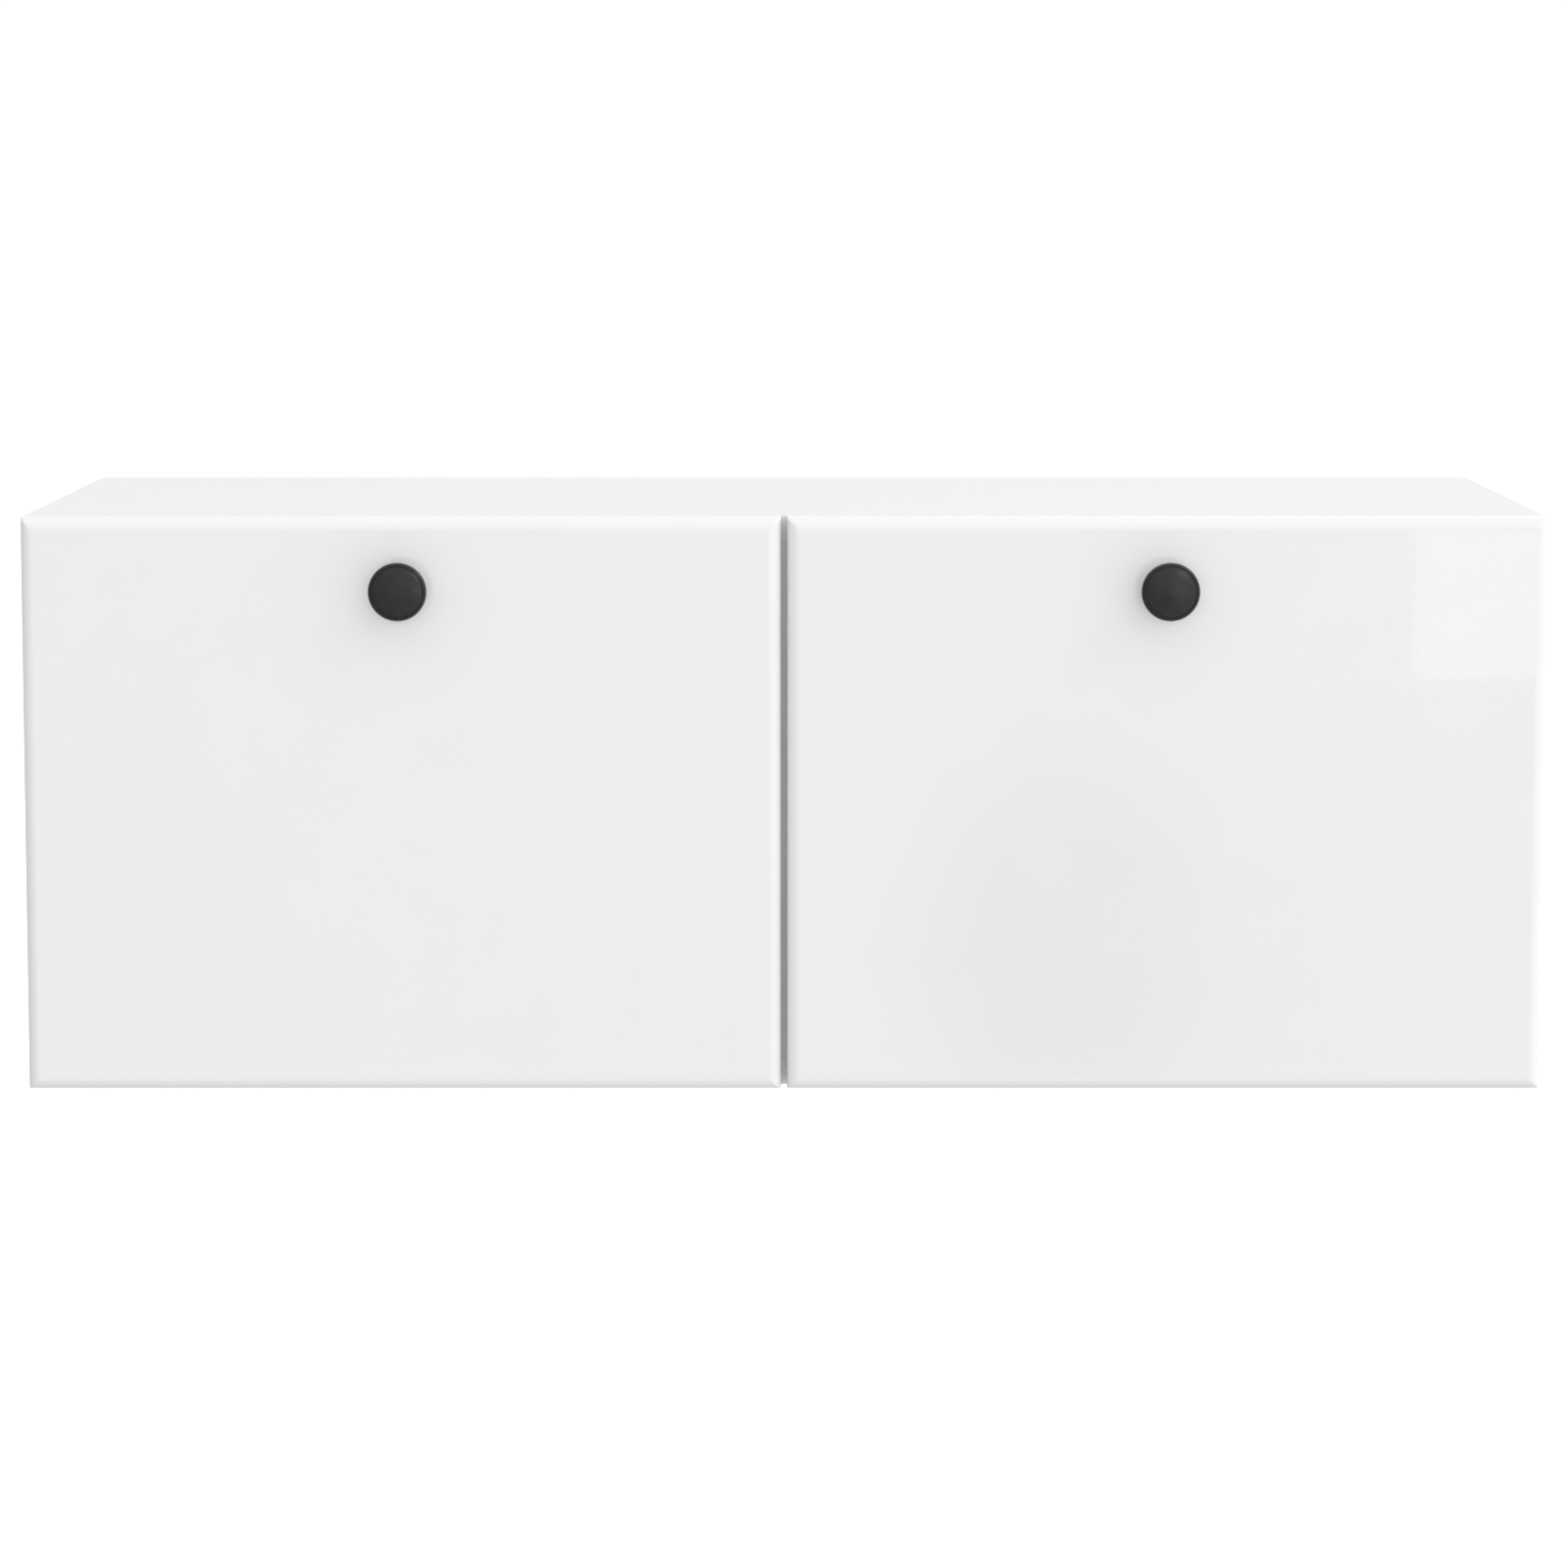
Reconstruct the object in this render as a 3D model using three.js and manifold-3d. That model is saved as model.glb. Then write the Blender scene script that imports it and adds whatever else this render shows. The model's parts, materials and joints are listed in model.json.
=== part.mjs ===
// Hanging wall cabinet: two bays side by side, each closed by a drop-down flap hinged at the bottom.
// Millimetres, +Z up. The origin is on the wall plane at the middle of the back, +Y points into the
// wall, and the flaps face -Y. "Left" and "right" are as seen by someone facing the cabinet.
import * as THREE from 'three';
import { mergeVertices } from 'three/addons/utils/BufferGeometryUtils.js';
import Module from 'manifold-3d';

const wasm = await Module();
wasm.setup();

// ---------- driving dimensions ----------
const WIDTH = 1000;
const HEIGHT = 380;
const DEPTH = 350; // wall to the front faces of the flaps
const BOARD = 18; // thickness of every board
const FLAP_AIR = 2; // between a closed flap and the carcass
const FLAP_GAP = 3.6; // between the two flaps
const FLAP_ROUND = 8.8; // rounding of the flaps' front edges
const FLAP_BACK_CHAMFER = 1.5; // on the rear bottom edge, so that it swings past the carcass

const BACK_THICK = 3; // hardboard back
const BACK_RECESS = 16; // wall to the rear face of the back
const GROOVE_DEPTH = 6;
const GROOVE_PLAY = 0.2; // on each side of the back in its groove
const BACK_SHORT = 0.5; // the back stops this far short of each groove's bottom

const AXIS_OUT = 9.5; // flap axis in front of the flap's rear face
const AXIS_RISE = 7; // flap axis above the flap's bottom edge
const HINGE_INSET = 100; // hinge centre from the end of its flap

const CUP_R = 17.3;
const CUP_WALL = 0.8;
const CUP_DEPTH = 13;
const CUP_RISE = 13.5; // cup centre above the flap axis
const CUP_PLAY = 0.2;
const CUP_FLANGE = 0.8;
const PIN_R = 1.2;

const KNOB_R = 19;
const KNOB_PROJECTION = 27;
const KNOB_DROP = 46.3; // knob centre below the top edge of its flap

const STAY_PIVOT = { y: 110, z: 60 }; // arm pivot on the side panel, from the flap axis
const STAY_THROW = { y: 21.5, z: 150 }; // flap bracket pivot from the flap axis, flap closed
const STAY_STRIP = 3; // thickness of the arm and the link
const STAY_AIR = 0.5; // between neighbouring stay pieces
const STAY_BODY = 14; // thickness of the stay housing

const ROUND_SEGMENTS = 32;
const SMALL_SEGMENTS = 20;

// ---------- places that follow from them ----------
const HALF_WIDTH = WIDTH / 2;
const HALF_HEIGHT = HEIGHT / 2;
const INNER_X = HALF_WIDTH - BOARD;
const INNER_Z = HALF_HEIGHT - BOARD;
const FLAP_FRONT = -DEPTH;
const FLAP_BACK = FLAP_FRONT + BOARD;
const CARCASS_FRONT = FLAP_BACK + FLAP_AIR;
const FLAP_WIDTH = (WIDTH - FLAP_GAP) / 2;
const FLAP_CENTRE_X = (WIDTH + FLAP_GAP) / 4;
const AXIS_Y = FLAP_BACK - AXIS_OUT;
const AXIS_Z = -HALF_HEIGHT + AXIS_RISE;
const BACK_FRONT = -(BACK_RECESS + BACK_THICK);
const GROOVE_NEAR = BACK_FRONT - GROOVE_PLAY;
const GROOVE_FAR = -BACK_RECESS + GROOVE_PLAY;
const SIDES = [
  { name: 'left', sign: -1 },
  { name: 'right', sign: 1 },
];

// ---------- materials ----------
function finish(colour, roughness, metalness) {
  return new THREE.MeshStandardMaterial({ color: colour, roughness, metalness });
}

const whiteBoard = finish(0xf4f4f3, 0.45, 0);
const glossFlap = finish(0xf0f0ef, 0.12, 0);
const whiteHardboard = finish(0xefefed, 0.6, 0);
const knobBlack = finish(0x2b2b2d, 0.35, 0.2);
const nickel = finish(0xb9babb, 0.3, 1);
const zincSteel = finish(0xa9acb0, 0.4, 1);
const whitePlastic = finish(0xe9e9e7, 0.5, 0);
const greyPlastic = finish(0x8f9194, 0.55, 0);
const softClear = finish(0xdcdcd8, 0.4, 0);

// ---------- shape helpers ----------
function box(low, high) {
  const size = high.map((value, i) => Math.abs(value - low[i]));
  const middle = high.map((value, i) => (value + low[i]) / 2);
  return new THREE.BoxGeometry(...size).translate(...middle);
}

// A rod of radius r between two places on the X axis, at the given y and z.
function rodX(r, x0, x1, y = 0, z = 0, segments = SMALL_SEGMENTS) {
  const rod = new THREE.CylinderGeometry(r, r, Math.abs(x1 - x0), segments);
  return rod.rotateZ(Math.PI / 2).translate((x0 + x1) / 2, y, z);
}

function rodY(r, y0, y1, x = 0, z = 0, segments = SMALL_SEGMENTS) {
  const rod = new THREE.CylinderGeometry(r, r, Math.abs(y1 - y0), segments);
  return rod.translate(x, (y0 + y1) / 2, z);
}

// An outline of (y, z) points, extruded from x0 to x1.
function prismX(outline, x0, x1) {
  const shape = outline instanceof THREE.Shape ? outline : outlineShape(outline);
  const low = Math.min(x0, x1);
  const solid = new THREE.ExtrudeGeometry(shape, {
    depth: Math.abs(x1 - x0),
    bevelEnabled: false,
    curveSegments: 8,
  });
  const yzTurn = new THREE.Matrix4().makeBasis(
    new THREE.Vector3(0, 1, 0),
    new THREE.Vector3(0, 0, 1),
    new THREE.Vector3(1, 0, 0),
  );
  return solid.applyMatrix4(yzTurn).translate(low, 0, 0);
}

function outlineShape(outline) {
  return new THREE.Shape(outline.map(([u, v]) => new THREE.Vector2(u, v)));
}

// A flat bar with round ends: two circles joined by their outer tangents, as (y, z) places.
function barShape(start, end, startR, endR) {
  const along = Math.atan2(end.z - start.z, end.y - start.y);
  const length = Math.hypot(end.z - start.z, end.y - start.y);
  const spread = Math.acos((startR - endR) / length);
  const shape = new THREE.Shape();
  shape.absarc(start.y, start.z, startR, along + spread, along - spread + 2 * Math.PI, false);
  shape.absarc(end.y, end.z, endR, along - spread, along + spread, false);
  return shape;
}

// ---------- joining and cutting ----------
function toSolid(geometry) {
  const plain = geometry.clone();
  plain.deleteAttribute('normal');
  plain.deleteAttribute('uv');
  const merged = mergeVertices(plain, 1e-4);
  const mesh = new wasm.Mesh({
    numProp: 3,
    vertProperties: Float32Array.from(merged.attributes.position.array),
    triVerts: Uint32Array.from(merged.index.array),
  });
  return new wasm.Manifold(mesh);
}

function toGeometry(solid) {
  const mesh = solid.getMesh();
  const geometry = new THREE.BufferGeometry();
  geometry.setAttribute('position', new THREE.BufferAttribute(mesh.vertProperties, 3));
  geometry.setIndex(new THREE.BufferAttribute(mesh.triVerts, 1));
  geometry.computeVertexNormals();
  return geometry;
}

function join(...geometries) {
  const whole = geometries.map(toSolid).reduce((sum, piece) => sum.add(piece));
  return toGeometry(whole);
}

function cut(geometry, ...tools) {
  const rest = tools.map(toSolid).reduce((left, tool) => left.subtract(tool), toSolid(geometry));
  return toGeometry(rest);
}

function common(geometry, limit) {
  return toGeometry(toSolid(geometry).intersect(toSolid(limit)));
}

function place(group, name, geometry, material, position = [0, 0, 0]) {
  const mesh = new THREE.Mesh(geometry, material);
  mesh.name = name;
  mesh.position.set(...position);
  group.add(mesh);
  return mesh;
}

// ---------- carcass boards ----------
// Top and bottom run the full width; the sides and the partition stand between them.
function levelBoard(sign) {
  const board = box([-HALF_WIDTH, CARCASS_FRONT, 0], [HALF_WIDTH, 0, sign * BOARD]);
  const grooves = SIDES.map((side) => box(
    [side.sign * (BOARD / 2 - GROOVE_DEPTH), GROOVE_NEAR, -sign],
    [side.sign * (INNER_X + GROOVE_DEPTH), GROOVE_FAR, sign * GROOVE_DEPTH],
  ));
  return cut(board, ...grooves);
}

function uprightBoard(grooveSides) {
  const board = box([-BOARD / 2, CARCASS_FRONT, -INNER_Z], [BOARD / 2, 0, INNER_Z]);
  const grooves = grooveSides.map((sign) => box(
    [sign * (BOARD / 2 - GROOVE_DEPTH), GROOVE_NEAR, -INNER_Z - 1],
    [sign * (BOARD / 2 + 1), GROOVE_FAR, INNER_Z + 1],
  ));
  return cut(board, ...grooves);
}

function addBoards(cabinet) {
  place(cabinet, 'top_panel', levelBoard(1), whiteBoard, [0, 0, INNER_Z]);
  place(cabinet, 'bottom_panel', levelBoard(-1), whiteBoard, [0, 0, -INNER_Z]);
  SIDES.forEach(({ name, sign }) => {
    const centre = [sign * (INNER_X + BOARD / 2), 0, 0];
    place(cabinet, `${name}_side_panel`, uprightBoard([-sign]), whiteBoard, centre);
  });
  place(cabinet, 'centre_partition', uprightBoard([-1, 1]), whiteBoard);
}

// ---------- backs, and the hangers that carry the cabinet ----------
// Widths run inwards from the side panel's inner face.
const HANGER = { low: 124, high: 170, front: -84, width: 16, wall: 2, room: 12 };
const HOOK = { low: 160.3, high: 165.3, lipLow: 152.5, front: -76, rear: -1.5, near: 3, far: 13 };
const WALL_PLATE = { low: 112, bend: 146, rise: 5, high: 160, steel: 2, stand: 6, near: 1, far: 40 };
const HOOK_AIR = 0.8; // between the hook's lip and the wall plate's lip
const NOTCH = { width: 24, low: 142 };
const HANGER_WELL = { r: 3, depth: 6, fromFront: 12, rises: [9, 22] };
const PLATE_HOLE = { r: 2.6, inset: 8, belowBend: 10 };

function backPanel(sign) {
  const inner = BOARD / 2 - GROOVE_DEPTH + BACK_SHORT;
  const outer = INNER_X + GROOVE_DEPTH - BACK_SHORT;
  const high = INNER_Z + GROOVE_DEPTH - BACK_SHORT;
  const board = box([sign * inner, BACK_FRONT, -high], [sign * outer, -BACK_RECESS, high]);
  const notch = box(
    [sign * (INNER_X - NOTCH.width), BACK_FRONT - 1, NOTCH.low],
    [sign * (HALF_WIDTH + 1), -BACK_RECESS + 1, HALF_HEIGHT],
  );
  return cut(board, notch);
}

// A shell around the hook's front end, open towards the wall.
function hangerHousing(sign) {
  const rear = BACK_FRONT - 0.5;
  const shell = box([0, HANGER.front, HANGER.low], [-sign * HANGER.width, rear, HANGER.high]);
  const room = box(
    [-sign * HANGER.wall, HOOK.front - 2, HOOK.low - HANGER.room],
    [-sign * (HANGER.width - HANGER.wall), rear + 1, HOOK.high + 2],
  );
  const { r, depth, fromFront, rises } = HANGER_WELL;
  const screwWells = rises.map((rise) => rodX(
    r,
    -sign * (HANGER.width - depth),
    -sign * (HANGER.width + 1),
    HANGER.front + fromFront,
    HANGER.low + rise,
  ));
  return cut(shell, room, ...screwWells);
}

function hangerHook(sign) {
  const lipFront = -WALL_PLATE.stand + HOOK_AIR;
  const outline = [
    [HOOK.front, HOOK.low],
    [lipFront, HOOK.low],
    [lipFront, HOOK.lipLow],
    [HOOK.rear, HOOK.lipLow],
    [HOOK.rear, HOOK.high],
    [HOOK.front, HOOK.high],
  ];
  return prismX(outline, -sign * HOOK.near, -sign * HOOK.far);
}

// A plate on the wall whose upper lip stands off, so that the hook drops behind it.
function wallPlate(sign) {
  const { low, bend, rise, high, steel, stand, near, far } = WALL_PLATE;
  const outline = [
    [0, low],
    [0, bend],
    [-stand, bend + rise],
    [-stand, high],
    [-stand - steel, high],
    [-stand - steel, bend + rise - 1],
    [-steel, bend - 1],
    [-steel, low],
  ];
  const plate = prismX(outline, -sign * near, -sign * far);
  const middle = -sign * (near + far) / 2;
  const heights = [low + PLATE_HOLE.inset, bend - PLATE_HOLE.belowBend];
  const holes = heights.map((z) => rodY(PLATE_HOLE.r, -steel - 1, 1, middle, z));
  return cut(plate, ...holes);
}

function addBacksAndHangers(cabinet) {
  SIDES.forEach(({ name, sign }) => {
    place(cabinet, `${name}_back_panel`, backPanel(sign), whiteHardboard);
    const corner = new THREE.Group();
    corner.position.x = sign * INNER_X;
    cabinet.add(corner);
    place(corner, `${name}_hanger_housing`, hangerHousing(sign), whitePlastic);
    place(corner, `${name}_hanger_hook`, hangerHook(sign), zincSteel);
    place(corner, `${name}_wall_plate`, wallPlate(sign), zincSteel);
  });
}

// ---------- hinges; y and z are from the flap axis ----------
const FLOOR_RISE = -INNER_Z - AXIS_Z; // upper face of the bottom panel above the axis
const ARM = { half: 6.5, neckHalf: 4.8, eye: 2.1, strap: 3.2, rear: 66, eyePlay: 0.2 };
const SEAT = { front: 24, rear: 70, half: 6.5, high: 5 };
const SEAT_WING = { front: 38, rear: 54, half: 25, high: 2 };
const CHEEK = { near: 5.4, far: 10.5, low: -3.4, high: 3, out: 3 };
const CUP_WING = { half: 28, halfHeight: 7 };
const CUP_RIM_R = 17.8;
const PIN_HALF = 9.2;
const CUP_BOTTOM = AXIS_OUT - CUP_DEPTH;

// A gooseneck: the eye sits inside the cup, the neck rises out of it, the strap lies on its seat.
function hingeArm() {
  const seat = FLOOR_RISE + SEAT.high;
  const half = ARM.strap / 2;
  const strap = box([-ARM.half, -half, seat], [ARM.half, ARM.rear, seat + ARM.strap]);
  const neck = box([-ARM.neckHalf, -half, 0], [ARM.neckHalf, half, seat + 1]);
  const eye = rodX(ARM.eye, -ARM.neckHalf, ARM.neckHalf);
  const hole = rodX(PIN_R + ARM.eyePlay, -ARM.half, ARM.half);
  return cut(join(strap, neck, eye), hole);
}

function hingeSeat() {
  const rail = box(
    [-SEAT.half, SEAT.front, FLOOR_RISE],
    [SEAT.half, SEAT.rear, FLOOR_RISE + SEAT.high],
  );
  const wings = box(
    [-SEAT_WING.half, SEAT_WING.front, FLOOR_RISE],
    [SEAT_WING.half, SEAT_WING.rear, FLOOR_RISE + SEAT_WING.high],
  );
  return join(rail, wings);
}

// A drilled-in cup with a thin flange on the flap's inner face, and two cheeks that hold the pin.
function hingeCup() {
  const inside = CUP_R - CUP_WALL;
  const face = AXIS_OUT + CUP_FLANGE;
  const profile = [
    [0, CUP_BOTTOM],
    [CUP_R, CUP_BOTTOM],
    [CUP_R, AXIS_OUT],
    [CUP_RIM_R, AXIS_OUT],
    [CUP_RIM_R, face],
    [inside, face],
    [inside, CUP_BOTTOM + CUP_WALL],
    [0, CUP_BOTTOM + CUP_WALL],
  ].map(([r, y]) => new THREE.Vector2(r, y));
  const shell = new THREE.LatheGeometry(profile, ROUND_SEGMENTS).translate(0, 0, CUP_RISE);
  const mouth = rodY(inside, AXIS_OUT - 1, face + 1, 0, CUP_RISE, ROUND_SEGMENTS);
  const wings = cut(
    box(
      [-CUP_WING.half, AXIS_OUT, CUP_RISE - CUP_WING.halfHeight],
      [CUP_WING.half, face, CUP_RISE + CUP_WING.halfHeight],
    ),
    mouth,
  );
  const within = rodY(CUP_R - CUP_WALL / 2, CUP_BOTTOM, face, 0, CUP_RISE, ROUND_SEGMENTS);
  const cheeks = SIDES.map(({ sign }) => common(
    box(
      [sign * CHEEK.near, CUP_BOTTOM + CUP_WALL / 2, CHEEK.low],
      [sign * CHEEK.far, CHEEK.out, CHEEK.high],
    ),
    within,
  ));
  const pinHole = rodX(PIN_R + 0.1, -PIN_HALF - 0.2, PIN_HALF + 0.2);
  return cut(join(shell, wings, ...cheeks), pinHole);
}

// ---------- flaps ----------
const BUMPER = { r: 4, thick: 1.7, inset: 8, drop: 9 };
const CATCH = { half: 17, high: 14, depth: 24, proud: 0.6 };
const STRIKE = { half: 11, low: 338, high: 354, thick: 1.1 };
const KNOB_SCREW = { r: 1.9, play: 0.4, headR: 4, head: 2.6, reach: 14 };
const KNOB_RISE = HEIGHT - AXIS_RISE - KNOB_DROP;
const FLAP_FACE = AXIS_OUT - BOARD; // front face of the flap, from the axis

// A board whose four front edges are rounded in two facets that meet in mitres at the corners.
function flapPanel(hingePlaces) {
  const width = FLAP_WIDTH / 2;
  const outline = outlineShape([
    [-width, -AXIS_RISE],
    [width, -AXIS_RISE],
    [width, HEIGHT - AXIS_RISE],
    [-width, HEIGHT - AXIS_RISE],
  ]);
  const slab = new THREE.ExtrudeGeometry(outline, {
    depth: 2 * (BOARD - FLAP_ROUND),
    bevelThickness: FLAP_ROUND,
    bevelSize: FLAP_ROUND,
    bevelOffset: -FLAP_ROUND,
    bevelSegments: 2,
  });
  slab.rotateX(Math.PI / 2).translate(0, AXIS_OUT + BOARD - FLAP_ROUND, 0);
  const frontHalf = box([-WIDTH, FLAP_FACE - 1, -HEIGHT], [WIDTH, AXIS_OUT, 2 * HEIGHT]);
  const chamfer = prismX(
    [
      [AXIS_OUT - FLAP_BACK_CHAMFER, -AXIS_RISE],
      [AXIS_OUT + 1, -AXIS_RISE - 1],
      [AXIS_OUT, -AXIS_RISE + FLAP_BACK_CHAMFER],
    ],
    -WIDTH,
    WIDTH,
  );
  const cupBores = hingePlaces.map((x) => (
    rodY(CUP_R + CUP_PLAY, CUP_BOTTOM - CUP_PLAY, AXIS_OUT + 1, x, CUP_RISE, ROUND_SEGMENTS)
  ));
  const screwHole = rodY(KNOB_SCREW.r + KNOB_SCREW.play, FLAP_FACE - 1, AXIS_OUT + 1, 0, KNOB_RISE);
  return cut(common(slab, frontHalf), chamfer, ...cupBores, screwHole);
}

// Turned knob; the profile's second value is the distance in front of the flap.
function knob() {
  const bore = KNOB_SCREW.r + 0.2;
  const reach = KNOB_SCREW.reach + 1;
  const profile = [
    [0, reach],
    [bore, reach],
    [bore, 0],
    [10, 0],
    [10, 1.5],
    [7.6, 3.2],
    [6.8, 8],
    [8.4, 14],
    [12.6, 17.6],
    [KNOB_R - 1.2, KNOB_PROJECTION - 7],
    [KNOB_R, KNOB_PROJECTION - 5.8],
    [KNOB_R, KNOB_PROJECTION - 4.4],
    [KNOB_R - 1.4, KNOB_PROJECTION - 2.8],
    [KNOB_R * 0.6, KNOB_PROJECTION - 0.9],
    [0, KNOB_PROJECTION],
  ].map(([r, out]) => new THREE.Vector2(r, out));
  return new THREE.LatheGeometry(profile, ROUND_SEGMENTS).rotateX(Math.PI);
}

function knobScrew() {
  const { r, headR, head, reach } = KNOB_SCREW;
  const shaft = rodY(r, FLAP_FACE - reach, AXIS_OUT + 1);
  return join(shaft, rodY(headR, AXIS_OUT, AXIS_OUT + head));
}

function addFlap(cabinet, { name, sign }) {
  const reach = FLAP_WIDTH / 2 - HINGE_INSET;
  const hinges = [
    { at: 'outer', x: sign * reach },
    { at: 'inner', x: -sign * reach },
  ];
  const axis = new THREE.Group();
  axis.position.set(sign * FLAP_CENTRE_X, AXIS_Y, AXIS_Z);
  cabinet.add(axis);
  place(axis, `${name}_flap_panel`, flapPanel(hinges.map(({ x }) => x)), glossFlap);
  place(axis, `${name}_knob`, knob(), knobBlack, [0, FLAP_FACE, KNOB_RISE]);
  place(axis, `${name}_knob_screw`, knobScrew(), zincSteel, [0, 0, KNOB_RISE]);
  hinges.forEach(({ at, x }) => {
    place(axis, `${name}_${at}_hinge_cup`, hingeCup(), nickel, [x, 0, 0]);
    place(axis, `${name}_${at}_hinge_pin`, rodX(PIN_R, -PIN_HALF, PIN_HALF), nickel, [x, 0, 0]);
    place(axis, `${name}_${at}_hinge_arm`, hingeArm(), nickel, [x, 0, 0]);
    place(axis, `${name}_${at}_hinge_seat`, hingeSeat(), nickel, [x, 0, 0]);
  });
  const strike = box(
    [-STRIKE.half, AXIS_OUT, STRIKE.low],
    [STRIKE.half, AXIS_OUT + STRIKE.thick, STRIKE.high],
  );
  place(axis, `${name}_strike_plate`, strike, zincSteel);
  const catchBody = box(
    [-CATCH.half, CARCASS_FRONT - CATCH.proud, INNER_Z - CATCH.high],
    [CATCH.half, CARCASS_FRONT - CATCH.proud + CATCH.depth, INNER_Z],
  );
  place(cabinet, `${name}_magnet_catch`, catchBody, whitePlastic, [axis.position.x, 0, 0]);
  hinges.forEach(({ at, x }) => {
    const corner = Math.sign(x) * (FLAP_WIDTH / 2 - BUMPER.inset);
    const pad = rodY(BUMPER.r, AXIS_OUT, AXIS_OUT + BUMPER.thick);
    const top = HEIGHT - AXIS_RISE - BUMPER.drop;
    place(axis, `${name}_${at}_bumper`, pad, softClear, [corner, 0, top]);
  });
}

// ---------- flap stays; x runs inwards from the side panel, y and z are from the flap axis ----------
// Arm and link make a parallelogram with the flap, so the arm turns exactly as far as the flap.
const ELBOW = { y: STAY_PIVOT.y + STAY_THROW.y, z: STAY_PIVOT.z + STAY_THROW.z };
const HOUSING = { tailY: STAY_PIVOT.y + 42, headR: 21, tailR: 15 };
const SPIGOT = { r: 5, play: 0.2, capR: 7.5, cap: 1.4 };
const RIVET = { r: 3, play: 0.3, headR: 5, head: 1.2 };
const STRIP_R = { pivot: 10, end: 8 };
const FOOT = { near: 6, far: 34, half: 20, thick: 2 };
const LUG = { footHalf: 14, topHalf: 7, bossR: 7 };
const ARM_NEAR = STAY_BODY + STAY_AIR;
const ARM_FAR = ARM_NEAR + STAY_STRIP;
const LINK_NEAR = ARM_FAR + STAY_AIR;
const LINK_FAR = LINK_NEAR + STAY_STRIP;
const HEAD_NEAR = LINK_FAR + 0.3;
const HEAD_FAR = HEAD_NEAR + RIVET.head;

function rodAt(sign, r, near, far, place2) {
  return rodX(r, -sign * near, -sign * far, place2.y, place2.z);
}

function stayHousing(sign) {
  const tail = { y: HOUSING.tailY, z: STAY_PIVOT.z };
  const body = barShape(STAY_PIVOT, tail, HOUSING.headR, HOUSING.tailR);
  return join(
    prismX(body, 0, -sign * STAY_BODY),
    rodAt(sign, SPIGOT.r, STAY_BODY - 1, ARM_FAR + 1, STAY_PIVOT),
    rodAt(sign, SPIGOT.capR, ARM_FAR + 0.3, ARM_FAR + 0.3 + SPIGOT.cap, STAY_PIVOT),
  );
}

function stayArm(sign) {
  const strip = barShape(STAY_PIVOT, ELBOW, STRIP_R.pivot, STRIP_R.end);
  return cut(
    prismX(strip, -sign * ARM_NEAR, -sign * ARM_FAR),
    rodAt(sign, SPIGOT.r + SPIGOT.play, ARM_NEAR - 1, ARM_FAR + 1, STAY_PIVOT),
    rodAt(sign, RIVET.r + 0.1, ARM_NEAR - 1, ARM_FAR + 1, ELBOW),
  );
}

function stayLink(sign) {
  const strip = barShape(STAY_THROW, ELBOW, STRIP_R.end, STRIP_R.end);
  return cut(
    prismX(strip, -sign * LINK_NEAR, -sign * LINK_FAR),
    rodAt(sign, RIVET.r + RIVET.play, LINK_NEAR - 1, LINK_FAR + 1, STAY_THROW),
    rodAt(sign, RIVET.r + RIVET.play, LINK_NEAR - 1, LINK_FAR + 1, ELBOW),
  );
}

function stayRivet(sign) {
  return join(
    rodAt(sign, RIVET.r, ARM_NEAR - 1, HEAD_FAR, ELBOW),
    rodAt(sign, RIVET.headR, ARM_NEAR - RIVET.head, ARM_NEAR - 0.1, ELBOW),
    rodAt(sign, RIVET.headR, HEAD_NEAR, HEAD_FAR, ELBOW),
  );
}

function stayBracket(sign) {
  const foot = box(
    [-sign * FOOT.near, AXIS_OUT, STAY_THROW.z - FOOT.half],
    [-sign * FOOT.far, AXIS_OUT + FOOT.thick, STAY_THROW.z + FOOT.half],
  );
  const lugRoot = AXIS_OUT + FOOT.thick - 1;
  const lug = prismX(
    [
      [lugRoot, STAY_THROW.z - LUG.footHalf],
      [STAY_THROW.y, STAY_THROW.z - LUG.topHalf],
      [STAY_THROW.y, STAY_THROW.z + LUG.topHalf],
      [lugRoot, STAY_THROW.z + LUG.footHalf],
    ],
    -sign * ARM_NEAR,
    -sign * ARM_FAR,
  );
  return join(
    foot,
    lug,
    rodAt(sign, LUG.bossR, ARM_NEAR, ARM_FAR, STAY_THROW),
    rodAt(sign, RIVET.r, ARM_FAR - 1, HEAD_FAR, STAY_THROW),
    rodAt(sign, RIVET.headR, HEAD_NEAR, HEAD_FAR, STAY_THROW),
  );
}

function addStay(cabinet, { name, sign }) {
  const stay = new THREE.Group();
  stay.position.set(sign * INNER_X, AXIS_Y, AXIS_Z);
  cabinet.add(stay);
  place(stay, `${name}_stay_housing`, stayHousing(sign), greyPlastic);
  place(stay, `${name}_stay_arm`, stayArm(sign), nickel);
  place(stay, `${name}_stay_link`, stayLink(sign), nickel);
  place(stay, `${name}_stay_rivet`, stayRivet(sign), zincSteel);
  place(stay, `${name}_stay_bracket`, stayBracket(sign), nickel);
}

// ---------- the whole cabinet ----------
const cabinet = new THREE.Group();
addBoards(cabinet);
addBacksAndHangers(cabinet);
SIDES.forEach((side) => {
  addFlap(cabinet, side);
  addStay(cabinet, side);
});

export default cabinet;
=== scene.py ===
"""The looks of the hanging wall cabinet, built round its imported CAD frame.

Shapes are modelled in millimetres, in the row's frame (origin on the wall plane, +Z up, flaps facing
-Y), and scaled to metres when a piece is made. Places come from the frame's boxes and joints.
"""
import json
import math

import bmesh
import bpy
from mathutils import Matrix, Vector


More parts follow.
